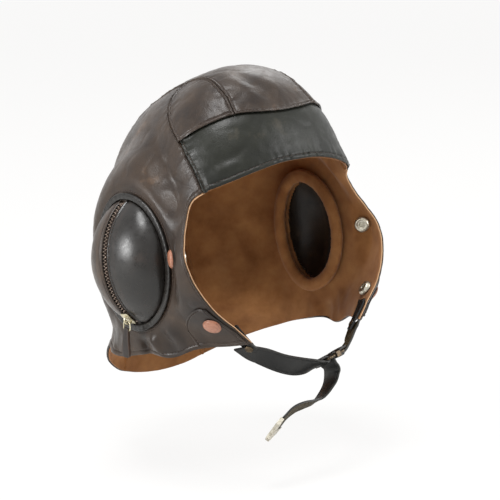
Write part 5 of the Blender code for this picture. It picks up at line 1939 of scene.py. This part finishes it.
@dataclass
class Zip:
    """One zip: herringbone tape, interlocked teeth, its stops, slider, ring and leather pull"""

    cup: EarCup
    end_share: float = 0.97
    tape_width: float = 13.0 * MM
    tape_depth: float = 2.2 * MM
    pitch: float = 1.4 * MM
    tooth: Sizes = (2.1 * MM, 0.8 * MM, 2.1 * MM)
    lean: float = 1.0 * MM
    stop: Sizes = (6.2 * MM, 2.6 * MM, 1.9 * MM)
    slider: Sizes = (13.0 * MM, 9.2 * MM, 1.8 * MM)
    slider_lift: float = 0.7 * MM
    bridge: Sizes = (0.7 * MM, 3.4 * MM, 3.6 * MM)
    ring: Sizes = (0.6 * MM, 7.8 * MM, 7.2 * MM)
    pull: Sizes = (24.0 * MM, 4.8 * MM, 9.2 * MM, 3.0 * MM)
    pull_head: float = 2.2 * MM

    @property
    def half_turn(self) -> float:
        """Turn from the zip's middle to its end"""
        return math.asin(self.end_share * FORM.cup_long / self.cup.radius)

    @property
    def rest(self) -> float:
        """Turn at which the closed slider stands"""
        length = self.stop[1] + 0.5 * self.slider[0]
        return -(self.half_turn - length / self.cup.radius)

    def frames(self, turn: Array) -> Array:
        """Across, along and outward directions at turns along the zip

        Args:
            turn: up from the zip's middle

        Returns:
            three directions for each turn
        """
        long_way, forward, outward = FORM.cup_axes(self.cup.side)
        out = np.cos(turn)[:, None] * outward + np.sin(turn)[:, None] * long_way
        along = np.cos(turn)[:, None] * long_way - np.sin(turn)[:, None] * outward
        return np.stack((np.broadcast_to(forward, out.shape), along, out), axis=1)

    def chain(self) -> None:
        """Lay the tape and set the teeth on it"""
        name, cup = self.cup.name, self.cup
        turn = np.linspace(-self.half_turn, self.half_turn, 90)[:, None]
        across = np.linspace(-0.5, 0.5, 15)[None, :] * self.tape_width
        lift = -self.tape_depth + 0.25 * MM * np.cos(across / self.tape_width * 9.0)
        tape = grid_sheet(cup.over(turn, across, lift))
        face_from(tape, cup.pivot)
        tape.data.materials.append(finish_of("tape"))
        give_wall(tape, 0.5 * MM)
        smooth(tape)
        keep(tape, f"{name}_zip_tape", "tape", ROOT, (f"{name}_zip_chain",))
        bead = Bead.block(self.tooth, 0.30 * MM, 1)
        toothed = self.half_turn - (self.stop[1] + self.tooth[1]) / cup.radius
        count = int(2.0 * toothed * cup.radius / self.pitch)
        turns = toothed * (2.0 * (np.arange(count) + 0.5) / count - 1.0)
        leans = np.where(np.arange(count) % 2, self.lean, -self.lean)
        middle = 0.5 * self.tooth[2] - self.tape_depth + 0.1 * MM
        teeth = bead.strung(cup.over(turns, leans, middle), self.frames(turns))
        smooth(teeth, 30.0)
        keep(teeth, f"{name}_zip_teeth", "teeth")
        bead = Bead.block(self.stop, 0.5 * MM, 2)
        turns = np.array((-1.0, 1.0)) * (self.half_turn - 0.6 * self.stop[1] / cup.radius)
        stops = bead.strung(cup.over(turns, 0.0, -1.2 * MM), self.frames(turns))
        smooth(stops, 30.0)
        keep(stops, f"{name}_zip_stops", "teeth")

    def slide(self) -> Array:
        """Model the slider and its bridge

        Returns:
            the eye of the bridge, where the ring hangs
        """
        name, cup = self.cup.name, self.cup
        length, width, thick = self.slider
        high = self.slider_lift + thick
        along = np.linspace(-0.5, 0.5, 21)
        wide = np.interp(along, (-0.5, -0.44, -0.3, 0.0, 0.25, 0.42, 0.5),
                         (0.30, 0.38, 0.42, 0.44, 0.50, 0.49, 0.40)) * width
        across = np.linspace(-1.0, 1.0, 13)
        lift = high - 0.35 * MM * np.abs(across[None, :]) ** 3 - 0.25 * MM * (
            2.0 * np.abs(along[:, None])) ** 4
        turn = self.rest + along[:, None] * length / cup.radius
        plate = grid_sheet(cup.over(turn, across[None, :] * wide[:, None], lift))
        face_from(plate, cup.pivot)
        give_wall(plate, thick - 0.35 * MM)
        bevelled(plate, 0.35 * MM)
        smooth(plate)
        keep(plate, f"{name}_slider_plate", "brass", f"{name}_slider",
             (f"{name}_zip_slider",))
        wire, reach, rise = self.bridge
        share = np.linspace(0.0, math.pi, 25)
        lifts = high - wire + (rise + wire) * np.sin(share) ** 0.8
        arch = cup.over(self.rest - reach / cup.radius * np.cos(share), 0.0, lifts)
        _, forward, _ = FORM.cup_axes(cup.side)
        bridge = tube(arch, wire * 1.35, forward, flat=0.74)
        keep(bridge, f"{name}_slider_bridge", "brass", f"{name}_slider")
        return cup.over(np.array([self.rest]), 0.0, high + 0.5 * rise)[0]

    def hang(self, eye: Array) -> None:
        """Hang the ring on the bridge and the leather pull on the ring

        Args:
            eye: where the ring hangs
        """
        name, side = self.cup.name, self.cup.side
        wire, width, drop = self.ring
        level, out = np.array((0.0, -1.0, 0.0)), np.array((side, 0.0, 0.0))
        loop = rounded_loop(eye + DOWN * 0.5 * drop, level, DOWN, 0.5 * width, 0.5 * drop,
                            0.3 * width)
        ring = tube(loop, wire, out, closed=True)
        keep(ring, f"{name}_zip_ring", "brass", f"{name}_ring",
             (f"{name}_pull_ring",))
        length, top, foot, thick = self.pull
        bar = eye + DOWN * drop
        rows = np.linspace(0.0, 1.0, 30)
        half = 0.5 * (top + (foot - top) * eased(rows, -0.25, 1.15))
        rounding = np.sqrt(np.maximum(1.0 - ((rows - 0.93) / 0.085) ** 2, 0.05))
        half = half * np.where(rows > 0.93, rounding, 1.0)
        across = np.linspace(-1.0, 1.0, 13)
        fall = -self.pull_head + length * rows
        crown = 0.35 * MM * (1.0 - np.abs(across[None, :]) ** 2.5) - 0.35 * MM
        edge = (1.0 - np.abs(across[None, :])) * half[:, None]
        crease = -0.22 * MM * bell(edge - 1.1 * MM, 0.28 * MM)
        bend = 0.8 * MM * np.sin(2.6 * rows)[:, None]
        reach = 0.5 * thick + crown + crease + bend
        sheet = grid_sheet(
            bar + fall[:, None, None] * DOWN + (across[None, :] * half[:, None])[..., None] * level
            + reach[..., None] * out, np.abs(across[None, :] * np.ones((30, 1))) ** 4,
        )
        face_from(sheet, bar - out)
        sheet.data.materials.append(finish_of("pull"))
        give_wall(sheet, thick - 0.6 * MM)
        bevelled(sheet, 0.35 * MM)
        smooth(sheet, 50.0)
        keep(sheet, f"{name}_leather_pull", "pull", f"{name}_pull",
             (f"{name}_pull_tab",))

    def build(self) -> None:
        """Make the zip"""
        self.chain()
        self.hang(self.slide())


def rounded_loop(centre: Array, first: Array, second: Array, half_first: float,
                 half_second: float, corner: float, steps: int = 8) -> Array:
    """Points of a rounded rectangle about a centre, between two directions

    Args:
        centre: its middle
        first: one direction
        second: the other one
        half_first: half its size along the first
        half_second: half its size along the second
        corner: radius of its corners
        steps: parts of each corner

    Returns:
        the points
    """
    points = []
    for index in range(4):
        across = 1.0 if index in (0, 3) else -1.0
        along = 1.0 if index in (0, 1) else -1.0
        for step in range(steps + 1):
            turn = 0.5 * math.pi * (index + step / steps)
            x = across * (half_first - corner) + corner * math.cos(turn)
            y = along * (half_second - corner) + corner * math.sin(turn)
            points.append(centre + first * x + second * y)
    return np.array(points)


@dataclass
class Snaps:
    """Press studs: russet enamelled caps outside, nickel ring sockets inside"""

    width: float = 15.0 * MM
    height: float = 3.0 * MM
    lip: float = 0.9 * MM
    socket: Sizes = (12.6 * MM, 3.2 * MM, 4.4 * MM, 2.0 * MM)
    places: tuple = (("upper", 85.0, -0.241), ("lower", 79.0, -0.80))

    def cap(self, width: float) -> Rows:
        """Profile of a domed cap with a rolled rim

        Args:
            width: of the cap

        Returns:
            radii and heights
        """
        radius, lip = 0.5 * width, self.lip
        dome = [
            (0.9 * radius * math.sin(turn), lip + 0.15 * MM
             + (self.height - lip - 0.15 * MM) * math.cos(turn))
            for turn in np.linspace(0.0, 0.5 * math.pi, 12)
        ]
        rim = [
            (0.93 * radius, lip + 0.22 * MM), (0.97 * radius, lip + 0.18 * MM),
            (radius, 0.6 * lip), (0.98 * radius, 0.2 * lip), (0.94 * radius, 0.0), (0.0, 0.0),
        ]
        return dome + rim

    def ring(self) -> Rows:
        """Profile of a ring socket with its recess

        Returns:
            radii and heights
        """
        width, height, bore, depth = self.socket
        radius = 0.5 * width
        return [
            (0.0, height - depth), (0.5 * bore, height - depth), (0.5 * bore, height - 0.3 * MM),
            (0.5 * bore + 0.3 * MM, height), (0.62 * radius, height), (0.70 * radius, height
             - 0.35 * MM), (0.82 * radius, height - 0.1 * MM), (0.94 * radius, 0.7 * height),
            (radius, 0.4 * height), (radius, 0.0), (0.0, 0.0),
        ]

    def build(self) -> None:
        """Make the four caps and sockets of the mask"""
        for name, side in SIDES.items():
            for place, angle, level in self.places:
                point = FORM.at(np.array(side * angle), np.array(level))
                over, sag = GAUGES.fit, 0.8 * MM
                if place == "lower":
                    over, sag = GAUGES.patch + GAUGES.patch_gap + GAUGES.fit, 0.0
                seat = Seat.on_leather(point, 0.5 * self.width, over, sag=sag)
                cap = turned(self.cap(self.width), seat)
                keep(cap, f"{name}_{place}_enamel_cap", "enamel", ROOT,
                     (f"{name}_{place}_snap_cap",))
                seat = Seat.on_leather(point, 0.5 * self.socket[0], GAUGES.inside, inside=True)
                socket = turned(self.ring(), seat)
                keep(socket, f"{name}_{place}_ring_socket", "nickel", ROOT,
                     (f"{name}_{place}_snap_socket",))


@dataclass
class Tab:
    """One snap tab at the back, sewn at its root and closed on a stud"""

    name: str
    angle: float
    level: float
    fit: float
    width: float = 15.0 * MM
    length: float = 52.0 * MM
    thickness: float = 2.0 * MM
    rise: float = 7.4 * MM
    bow_share: float = 0.74
    seat_shares: Sizes = (0.50, 0.74)
    foot_share: float = 0.86
    cap_width: float = 12.8 * MM
    stud: Sizes = (9.6 * MM, 0.8 * MM, 4.0 * MM, 2.0 * MM)

    def axes(self) -> Arrays:
        """Root point, and outward, downward and width directions

        Returns:
            the point and the three directions
        """
        point = FORM.at(np.array(self.angle), np.array(self.level))
        out = FORM.outward(point[None])[0]
        down = unit(DOWN - out * (DOWN @ out))
        return point, out, down, np.cross(out, down)

    def at(self, along: Array, across: Array) -> Array:
        """Points of the tab's inner face

        Args:
            along: shares of its length
            across: distances from its middle

        Returns:
            the points
        """
        point, out, down, wide = self.axes()
        spine = point + down * (self.length * along)[..., None]
        rise = (FORM.laid(spine) - spine) @ out
        stud = eased(along, *self.seat_shares) * (self.stud[3] + GAUGES.fit)
        bow = self.rise * np.sin(np.pi * np.minimum(along / self.bow_share, 1.0)) ** 1.5
        lift = rise + self.fit + stud + bow
        return spine + across[..., None] * wide + lift[..., None] * out

    def build(self) -> None:
        """Make the tab, its cap and its stud"""
        point, out, down, wide = self.axes()
        along = np.concatenate((np.linspace(0.0, 0.9, 40), np.linspace(0.905, 1.0, 14)))
        half = 0.5 * self.width * np.sqrt(np.clip(
            1.0 - (np.maximum(along - 0.90, 0.0) / 0.112) ** 2, 0.0, 1.0))
        across = np.linspace(-1.0, 1.0, 15)
        spread = across[None, :] * half[:, None]
        base = self.at(np.broadcast_to(along[:, None], spread.shape), spread)
        edge = (1.0 - np.abs(across[None, :])) * half[:, None]
        lift = self.thickness - 0.22 * MM * bell(edge - 1.6 * MM, 0.35 * MM)
        points = base + lift[..., None] * out
        ribbon = grid_sheet(points, bell(edge, 0.9 * MM))
        face_from(ribbon, point - out)
        ribbon.data.materials.append(finish_of("strap"))
        give_wall(ribbon, self.thickness)
        bevelled(ribbon, 0.35 * MM, degrees=50.0)
        smooth(ribbon, 50.0)
        keep(ribbon, f"bowed_{self.name}", "strap", self.name, (self.name,))
        rows = []
        for edge_side in (-1.0, 1.0):
            row = self.at(along[:40], np.full(40, edge_side * (0.5 * self.width - 1.6 * MM)))
            rows.append((row + out * self.thickness, np.broadcast_to(out, row.shape)))
        Stitching().rows(f"{self.name}_stitches", rows, self.name)
        foot = FORM.laid((point + down * (self.foot_share * self.length))[None])[0]
        width, rim, knob, high = self.stud
        seat = Seat.on_leather(foot, 0.5 * width, 0.0, sag=0.80 * self.fit)
        stud = turned([
            (0.0, high), (0.35 * knob, high), (0.47 * knob, 0.92 * high), (0.5 * knob, 0.7 * high),
            (0.44 * knob, 0.5 * high), (0.5 * knob, rim), (0.46 * width, 0.8 * rim),
            (0.5 * width, 0.5 * rim), (0.5 * width, 0.0), (0.0, 0.0),
        ], seat)
        keep(stud, f"{self.name}_press_stud", "nickel", ROOT, (f"{self.name}_stud",))
        reach = 0.5 * self.cap_width / self.length
        ends = self.at(np.array((self.foot_share + reach, self.foot_share - reach)), np.zeros(2))
        away = unit(np.cross(ends[0] - ends[1], wide))
        away = away if away @ out > 0.0 else -away
        middle = self.at(np.array([self.foot_share]), np.zeros(1))[0]
        seat = Seat.facing(middle + away * (self.thickness + 2.0 * GAUGES.fit), away)
        cap = turned(Snaps().cap(self.cap_width), seat)
        keep(cap, f"{self.name}_enamel_cap", "enamel", self.name,
             (f"{self.name}_cap",))


@dataclass
class Ribbon:
    """A flat leather strap through rows of middle and width direction"""

    name: str
    thickness: float = 1.6 * MM
    crease: float = 1.7 * MM

    def build(self, middles: Array, halves: Array, outs: Array, body: str, node: str) -> None:
        """Make the strap

        Args:
            middles: points along its middle
            halves: from the middle to its edge at each point
            outs: its face's direction at each point
            body: the body that it rides on
            node: the node that it stands for
        """
        across = np.concatenate((
            (-1.0, -0.95), np.linspace(-0.88, -0.70, 6), np.linspace(-0.5, 0.5, 5),
            np.linspace(0.70, 0.88, 6), (0.95, 1.0),
        ))
        half = np.linalg.norm(halves, axis=-1)[:, None]
        edge = (1.0 - np.abs(across[None, :])) * half
        dent = 0.24 * MM * bell(edge - self.crease, 0.32 * MM)
        crown = 0.25 * MM * (1.0 - across[None, :] ** 2)
        points = middles[:, None, :] + across[None, :, None] * halves[:, None, :]
        uneven = 0.22 * MM * noise_at(points, 14.0 * MM, 5.0)
        points = points + (crown - dent + uneven)[..., None] * outs[:, None, :]
        strap = grid_sheet(points, bell(edge, 0.8 * MM))
        face = strap.data.polygons[len(strap.data.polygons) // 2]
        normal, centre = np.array(face.normal), np.array(face.center)
        near = np.linalg.norm(middles - centre, axis=-1).argmin()
        if normal @ outs[near] < 0.0:
            in_edit_mode(strap, bpy.ops.mesh.flip_normals)
        strap.data.materials.append(finish_of("strap"))
        give_wall(strap, self.thickness, 0.0, reverse="reverse")
        bevelled(strap, 0.32 * MM, degrees=60.0)
        smooth(strap, 50.0)
        keep(strap, f"{self.name}_leather", "strap", body, (node,))


@dataclass
class ChinStrap:
    """Chin strap from hem to hem, its roots and rivets, the sliding bar buckle and the free end"""

    width: float = 17.0 * MM
    thickness: float = 1.6 * MM
    hem_place: Sizes = (73.8, -1.040)
    leave_place: Sizes = (71.5, -1.090)
    settle: Sizes = (5.5 * MM, 4.3 * MM, 2.0 * MM)
    bow: float = 6.5 * MM
    sag: float = 15.6 * MM
    start: float = 9.0 * MM
    run: tuple = (
        (-1.0, 0.0, 0.0), (-0.68, 0.54, 0.47), (-0.37, 0.83, 0.80), (-0.093, 0.985, 0.965),
        (0.175, 1.0, 1.0), (0.412, 0.95, 0.92), (0.64, 0.77, 0.70), (0.845, 0.42, 0.34),
        (1.0, 0.0, 0.0),
    )
    run_turns: tuple = (54.0, 62.0, 66.0, 54.0, 30.0, 28.0, 30.0, 40.0, 48.0)
    buckle_share: float = 7.0 / 12.0
    buckle_length: float = 18.0 * MM
    wire: float = 1.1 * MM
    block: float = 4.2 * MM
    fold_tuck: float = 6.0 * MM
    tail_drop: float = 50.0 * MM
    tail_sway: float = 74.5 * MM
    tail: tuple = (
        (0.0, 0.0), (0.04, 0.13), (0.0, 0.34), (-0.15, 0.55), (-0.29, 0.585),
        (-0.44, 0.60), (-0.58, 0.66), (-0.71, 0.79), (-0.84, 0.92), (-1.0, 1.07),
    )
    tail_turns: tuple = (28.0, 28.0, 28.0, 30.0, 34.0, 42.0, 50.0, 56.0, 60.0, 60.0)
    tail_shares: Sizes = (0.05, 0.78)
    notch: float = 8.0 * MM
    prong: float = 1.2 * MM
    rivet_aside: Sizes = (3.5 * MM, 2.6 * MM)
    rivet: Sizes = (7.0 * MM, 1.5 * MM, 2.6 * MM, 5.6 * MM, 0.7 * MM)

    @property
    def fold(self) -> float:
        """Radius of the strap's middle where it is folded round a bar"""
        return self.wire + GAUGES.fit + 0.5 * self.thickness

    def seat(self, side: float) -> Arrays:
        """The strap's middle by the flap's corner, with run, width and outward directions

        Args:
            side: -1 for the wearer's right, 1 for the left

        Returns:
            the middle and the three directions
        """
        point, leave = (
            FORM.at(np.array(side * angle), np.array(level))
            for angle, level in (self.hem_place, self.leave_place)
        )
        out = FORM.outward(point[None])[0]
        leave = leave - point
        run = unit(leave - out * (leave @ out))
        depth = GAUGES.inside - 2.0 * GAUGES.fit - 0.5 * self.thickness
        wide = np.cross(out, run)
        return point - out * depth, run, wide if wide[1] > 0.0 else -wide, out

    @staticmethod
    def tilted(angle: float) -> tuple[float, float, float]:
        """Width direction, tilted from level"""
        turn = math.radians(angle)
        return (0.0, math.cos(turn), -math.sin(turn))

    def rows(self) -> Array:
        """Stations from the right hem to the left hem: middle and width direction

        Returns:
            the stations
        """
        seat, run, _, _ = self.seat(1.0)
        settled = seat + run * self.start - np.array(self.settle)
        rows = [
            (across * settled[0], settled[1] - forward * self.bow, settled[2] - down * self.sag,
             *self.tilted(angle))
            for (across, forward, down), angle in zip(self.run, self.run_turns)
        ]
        for side in (-1.0, 1.0):
            middle, run, wide, _ = self.seat(side)
            ends = [(*middle, *wide), (*(middle + run * self.start), *wide)]
            rows = ends + rows if side < 0.0 else rows + ends[::-1]
        return np.array(rows)

    @staticmethod
    def along(rows: Array, share: Array) -> Arrays:
        """Middles, runs, widths and outward directions at shares of a ribbon's length

        Args:
            rows: stations with middle and width direction
            share: shares of the length, from 0 to 1

        Returns:
            four arrays of three numbers each
        """
        share = np.atleast_1d(share)
        step = 0.01
        here = smooth_row(rows, share)
        ahead = smooth_row(rows, share + step)[:, :3] - smooth_row(rows, share - step)[:, :3]
        run = unit(ahead)
        wide = here[:, 3:]
        wide = unit(wide - run * (wide * run).sum(-1, keepdims=True))
        out = np.cross(run, wide)
        return here[:, :3], run, wide, np.where(out[:, 2:] < 0.0, out, -out)

    def skewed(self, middles: Array, halves: Array, side: float) -> None:
        """Cut the strap's end along the hem

        Args:
            middles: points along the strap's middle
            halves: from the middle to its edge, whose first is changed
            side: -1 for the wearer's right, 1 for the left
        """
        angle, level = self.hem_place
        ends = FORM.at(side * np.array((angle - 1.0, angle + 1.0)), np.array((level, level)))
        hem_way = unit(ends[0] - ends[1])
        run = unit(middles[1] - middles[0])
        slope = hem_way - run * (hem_way @ run)
        grown = hem_way * (0.5 * self.width / np.linalg.norm(slope))
        halves[0] = -grown if grown @ halves[0] < 0.0 else grown

    def folded(self, bar: Array, first: Array, second: Array, wide: Array,
               radius: float, turns: tuple[float, float], steps: int = 14) -> Arrays:
        """Middles, halves and outward directions of a fold round a bar

        Args:
            bar: the bar's middle
            first: direction at no turn
            second: direction at a quarter turn
            wide: along the bar
            radius: of the fold
            turns: where it starts and ends
            steps: points in it

        Returns:
            the three arrays
        """
        turn = np.linspace(*turns, steps)[:, None]
        spoke = first * np.cos(turn) + second * np.sin(turn)
        halves = np.broadcast_to(wide * 0.5 * self.width, spoke.shape)
        return bar + spoke * radius, halves, spoke

    def buckle_axes(self) -> Arrays:
        """Middle of the buckle, with run, width and outward directions

        Returns:
            the middle and the three directions
        """
        line, run, wide, out = (v[0] for v in self.along(self.rows(), self.buckle_share))
        return line - out * self.fold, run, wide, out

    def length(self) -> float:
        """Length of the strap between the hems"""
        return float(np.linalg.norm(np.diff(self.rows()[:, :3], axis=0), axis=1).sum())

    def straps(self) -> None:
        """Make the two straps that meet at the buckle"""
        rows = self.rows()
        middle, run, wide, out = self.buckle_axes()
        half = 0.5 * self.buckle_length
        half_share = half / self.length()
        for side, start, node in ((-1.0, 0.0, "chin_strap"), (1.0, 1.0, "buckle_strap")):
            end = self.buckle_share + side * half_share
            middles, _, wides, outs = self.along(rows, np.linspace(start, end, 90))
            halves = wides * 0.5 * self.width
            self.skewed(middles, halves, side)
            bar = middle + run * (side * half)
            bend = self.folded(bar, out, run * -side, wide, self.fold, (0.0, math.pi))
            tuck = bar - out * (self.fold + GAUGES.fit) + run * (side * self.fold_tuck)
            middles = np.vstack((middles[:-1], bend[0], tuck))
            halves = np.vstack((halves[:-1], bend[1], wide * 0.5 * self.width))
            outs = np.vstack((outs[:-1], bend[2], -out))
            Ribbon(node).build(middles, halves, outs, ROOT, node)

    def free_end(self) -> None:
        """Make the strap's free end, which hangs from the sliding bar and shows its back below"""
        middle, run, wide, out = self.buckle_axes()
        bend = self.folded(middle, run, -out, wide, self.fold, (-0.15 * math.pi, math.pi))
        start = middle - run * (self.fold + GAUGES.fit)
        rows = [(*start, *wide)]
        start = start + out * self.block
        for (across, down), angle in zip(self.tail, self.tail_turns):
            place = start + np.array((across * self.tail_sway, 0.0, -down * self.tail_drop))
            rows.append((*place, *self.tilted(angle)))
        rows = np.array(rows)
        share = np.linspace(*self.tail_shares, 110)
        middles, runs, wides, outs = self.along(rows, share)
        front = np.cross(runs, wides)
        front = front * np.sign((front[:1] * bend[2][-1]).sum(-1, keepdims=True))
        tip_middle, tip_run, tip_wide, tip_out = (v[-1] for v in (middles, runs, wides, front))
        point = 0.5 * self.width - self.prong - GAUGES.fit
        tail = [
            (tip_middle + tip_run * reach, tip_wide * half, tip_out)
            for reach, half in ((GAUGES.fit, point),
                                (self.notch - 2.0 * GAUGES.fit, GAUGES.fit + 0.1 * point))
        ]
        middles = np.vstack((bend[0], middles, [row[0] for row in tail]))
        halves = np.vstack((bend[1], wides * 0.5 * self.width, [row[1] for row in tail]))
        outs = np.vstack((bend[2], front, [row[2] for row in tail]))
        Ribbon("strap_tail").build(middles, halves, outs, "strap_end", "strap_tail")

    def buckle(self) -> None:
        """Bend the buckle's wire frame"""
        middle, run, wide, out = self.buckle_axes()
        reach = 0.5 * (self.width + self.block) + 3.0 * GAUGES.fit
        loop = rounded_loop(middle, run, wide, 0.5 * self.buckle_length, reach, 2.0 * self.wire)
        frame_wire = tube(loop, self.wire, out, closed=True, around=16)
        keep(frame_wire, "buckle_wire_frame", "bronze", ROOT, ("buckle_frame",))

    def rivets(self) -> None:
        """Set a domed rivet through each end of the strap"""
        head, rise, shank, washer, foot = self.rivet
        for name, side in SIDES.items():
            middle, run, wide, out = self.seat(side)
            middle = middle + run * self.rivet_aside[0] - wide * self.rivet_aside[1]
            reach = 4.0 * GAUGES.fit + self.thickness + GAUGES.leather + GAUGES.lining
            dome = [
                (0.5 * head * math.sin(turn), 0.3 * MM + (rise - 0.3 * MM) * math.cos(turn))
                for turn in np.linspace(0.0, 0.5 * math.pi, 9)
            ]
            rivet = turned(dome + [
                (0.5 * head, 0.0), (0.5 * shank, 0.0), (0.5 * shank, -reach),
                (0.5 * washer, -reach), (0.5 * washer, -reach - foot), (0.0, -reach - foot),
            ], Seat.facing(middle + out * (0.5 * self.thickness + GAUGES.fit), out), 28)
            keep(rivet, f"{name}_domed_rivet", "bronze", ROOT,
                 (f"{name}_strap_rivet",))

    def roots(self) -> None:
        """Sew the strap's roots inside the flaps"""
        edge = Sewing.mm(stitch=1.9, roll=0.3)
        for name, side in SIDES.items():
            Panel(
                f"{name}_strap_root", *(SeamLine(row, side) for row in PATTERN.root),
                {Edge.TOP: edge, Edge.LEFT: edge, Edge.RIGHT: edge},
                finish="strap", depth=GAUGES.inside, spacing=2.4 * MM,
            ).build()

    def build(self) -> None:
        """Make the strap and its fittings"""
        self.straps()
        self.free_end()
        self.buckle()
        self.rivets()
        self.roots()
        for node, finish in (("buckle_roller", "bronze"), ("strap_tip", "nickel")):
            piece = frame["nodes"][node]
            for slot in piece.material_slots:
                slot.material = finish_of(finish)


@dataclass
class Studio:
    """Plain pale floor, soft light and the camera at the photograph's angle"""

    aim: Sizes = (-0.039, -0.066, 0.013)
    back: Sizes = (-0.6545, -0.7269, 0.2079)
    distance: float = 2.126
    lens: float = 194.4
    floor_gap: float = 40.0 * MM
    world: float = 0.38
    lamps: tuple = (
        ("key", (-0.45, -0.15, 2.0), 1.0, 38.0), ("side", (-2.0, 0.50, 0.62), 0.85, 36.0),
        ("fill", (1.3, -1.4, 0.9), 1.2, 20.0), ("rim", (1.4, 0.9, 1.3), 1.0, 10.0),
    )

    def camera(self) -> None:
        """Set the camera"""
        lens = bpy.data.cameras.new("camera")
        lens.lens = self.lens
        lens.sensor_width = 36.0
        holder = bpy.data.objects.new("camera", lens)
        bpy.context.scene.collection.objects.link(holder)
        back = Vector(self.back)
        holder.location = Vector(self.aim) + back * self.distance
        holder.rotation_euler = (-back).to_track_quat("-Z", "Y").to_euler()
        bpy.context.scene.camera = holder

    def lamp(self, name: str, place: tuple, size: float, power: float) -> None:
        """Hang one soft lamp that faces the helmet

        Args:
            name: the lamp's name
            place: where it hangs
            size: its diameter
            power: in watts
        """
        light = bpy.data.lights.new(name, "AREA")
        light.shape = "DISK"
        light.size = size
        light.energy = power
        holder = bpy.data.objects.new(name, light)
        bpy.context.scene.collection.objects.link(holder)
        holder.location = Vector(place)
        ahead = Vector(self.aim) - Vector(place)
        holder.rotation_euler = ahead.to_track_quat("-Z", "Y").to_euler()

    def surroundings(self) -> None:
        """A white backdrop for the camera and for gloss, in a dimmer room that lights softly"""
        world = bpy.data.worlds.new("white_studio")
        bpy.context.scene.world = world
        world.use_nodes = True
        tree = world.node_tree
        light_path = add_node(tree, "LightPath")
        seen = light_path.outputs["Is Camera Ray"]
        for ray in ("Is Glossy Ray", "Is Transmission Ray"):
            seen = add_node(tree, "Math", {0: seen, 1: light_path.outputs[ray]},
                            operation="MAXIMUM").outputs[0]
        strength = add_node(tree, "Mix", {0: seen, 2: self.world, 3: 1.0}).outputs[0]
        set_inputs(tree, tree.nodes["Background"], {
            "Color": (1.0, 1.0, 1.0, 1.0), "Strength": strength,
        })

    def floor(self) -> None:
        """Lay the floor"""
        low = CAD_BOX[0][2] - self.floor_gap
        deselect()
        bpy.ops.mesh.primitive_grid_add(x_subdivisions=4, y_subdivisions=4, size=40.0)
        floor = bpy.context.object
        floor.data.transform(Matrix.Translation((0.0, 0.0, low)))
        floor.name = "pale_floor"
        material = bpy.data.materials.new("pale_paper")
        material.use_nodes = True
        tree = material.node_tree
        shader = tree.nodes["Principled BSDF"]
        set_inputs(tree, shader, {"Base Color": linear("ececea"), "Roughness": 0.95})
        light_path = add_node(tree, "LightPath")
        glow = add_node(tree, "Emission", {"Color": (0.99, 0.985, 0.98, 1.0), "Strength": 1.0})
        place = add_node(tree, "TexCoord").outputs["Object"]
        far = add_node(tree, "VectorMath", {0: place}, operation="LENGTH").outputs["Value"]
        share = add_node(tree, "MapRange", {
            "Value": far, "From Min": 1.0, "From Max": 6.0, "To Min": 0.86, "To Max": 1.0,
        }).outputs["Result"]
        seen = add_node(tree, "Math", {
            0: light_path.outputs["Is Camera Ray"], 1: share,
        }, operation="MULTIPLY").outputs[0]
        mix = add_node(tree, "MixShader", {0: seen, 1: shader.outputs[0], 2: glow.outputs[0]})
        tree.links.new(mix.outputs[0], tree.nodes["Material Output"].inputs["Surface"])
        floor.data.materials.append(material)

    def build(self) -> None:
        """Set the stage"""
        self.camera()
        self.surroundings()
        self.floor()
        for lamp in self.lamps:
            self.lamp(*lamp)
        bpy.context.scene.view_settings.view_transform = "Standard"


TABS = (
    ("right_goggle_tab", -171.0, 0.40, 0.3 * MM), ("left_goggle_tab", 171.0, 0.40, 0.3 * MM),
    ("nape_lead_tab", 180.0, -0.10, 0.9 * MM),
)


def main() -> None:
    """Build the helmet's looks piece by piece"""
    logging.basicConfig(level=logging.INFO, format="%(name)s %(message)s")
    Studio().build()
    Shell().build()
    Lining().build()
    for name, side in SIDES.items():
        cup = EarCup(name, side)
        cup.build()
        Zip(cup).build()
    Snaps().build()
    for name, angle, level, fit in TABS:
        Tab(name, angle, level, fit).build()
    ChinStrap().build()


if __name__ == "__main__":
    main()
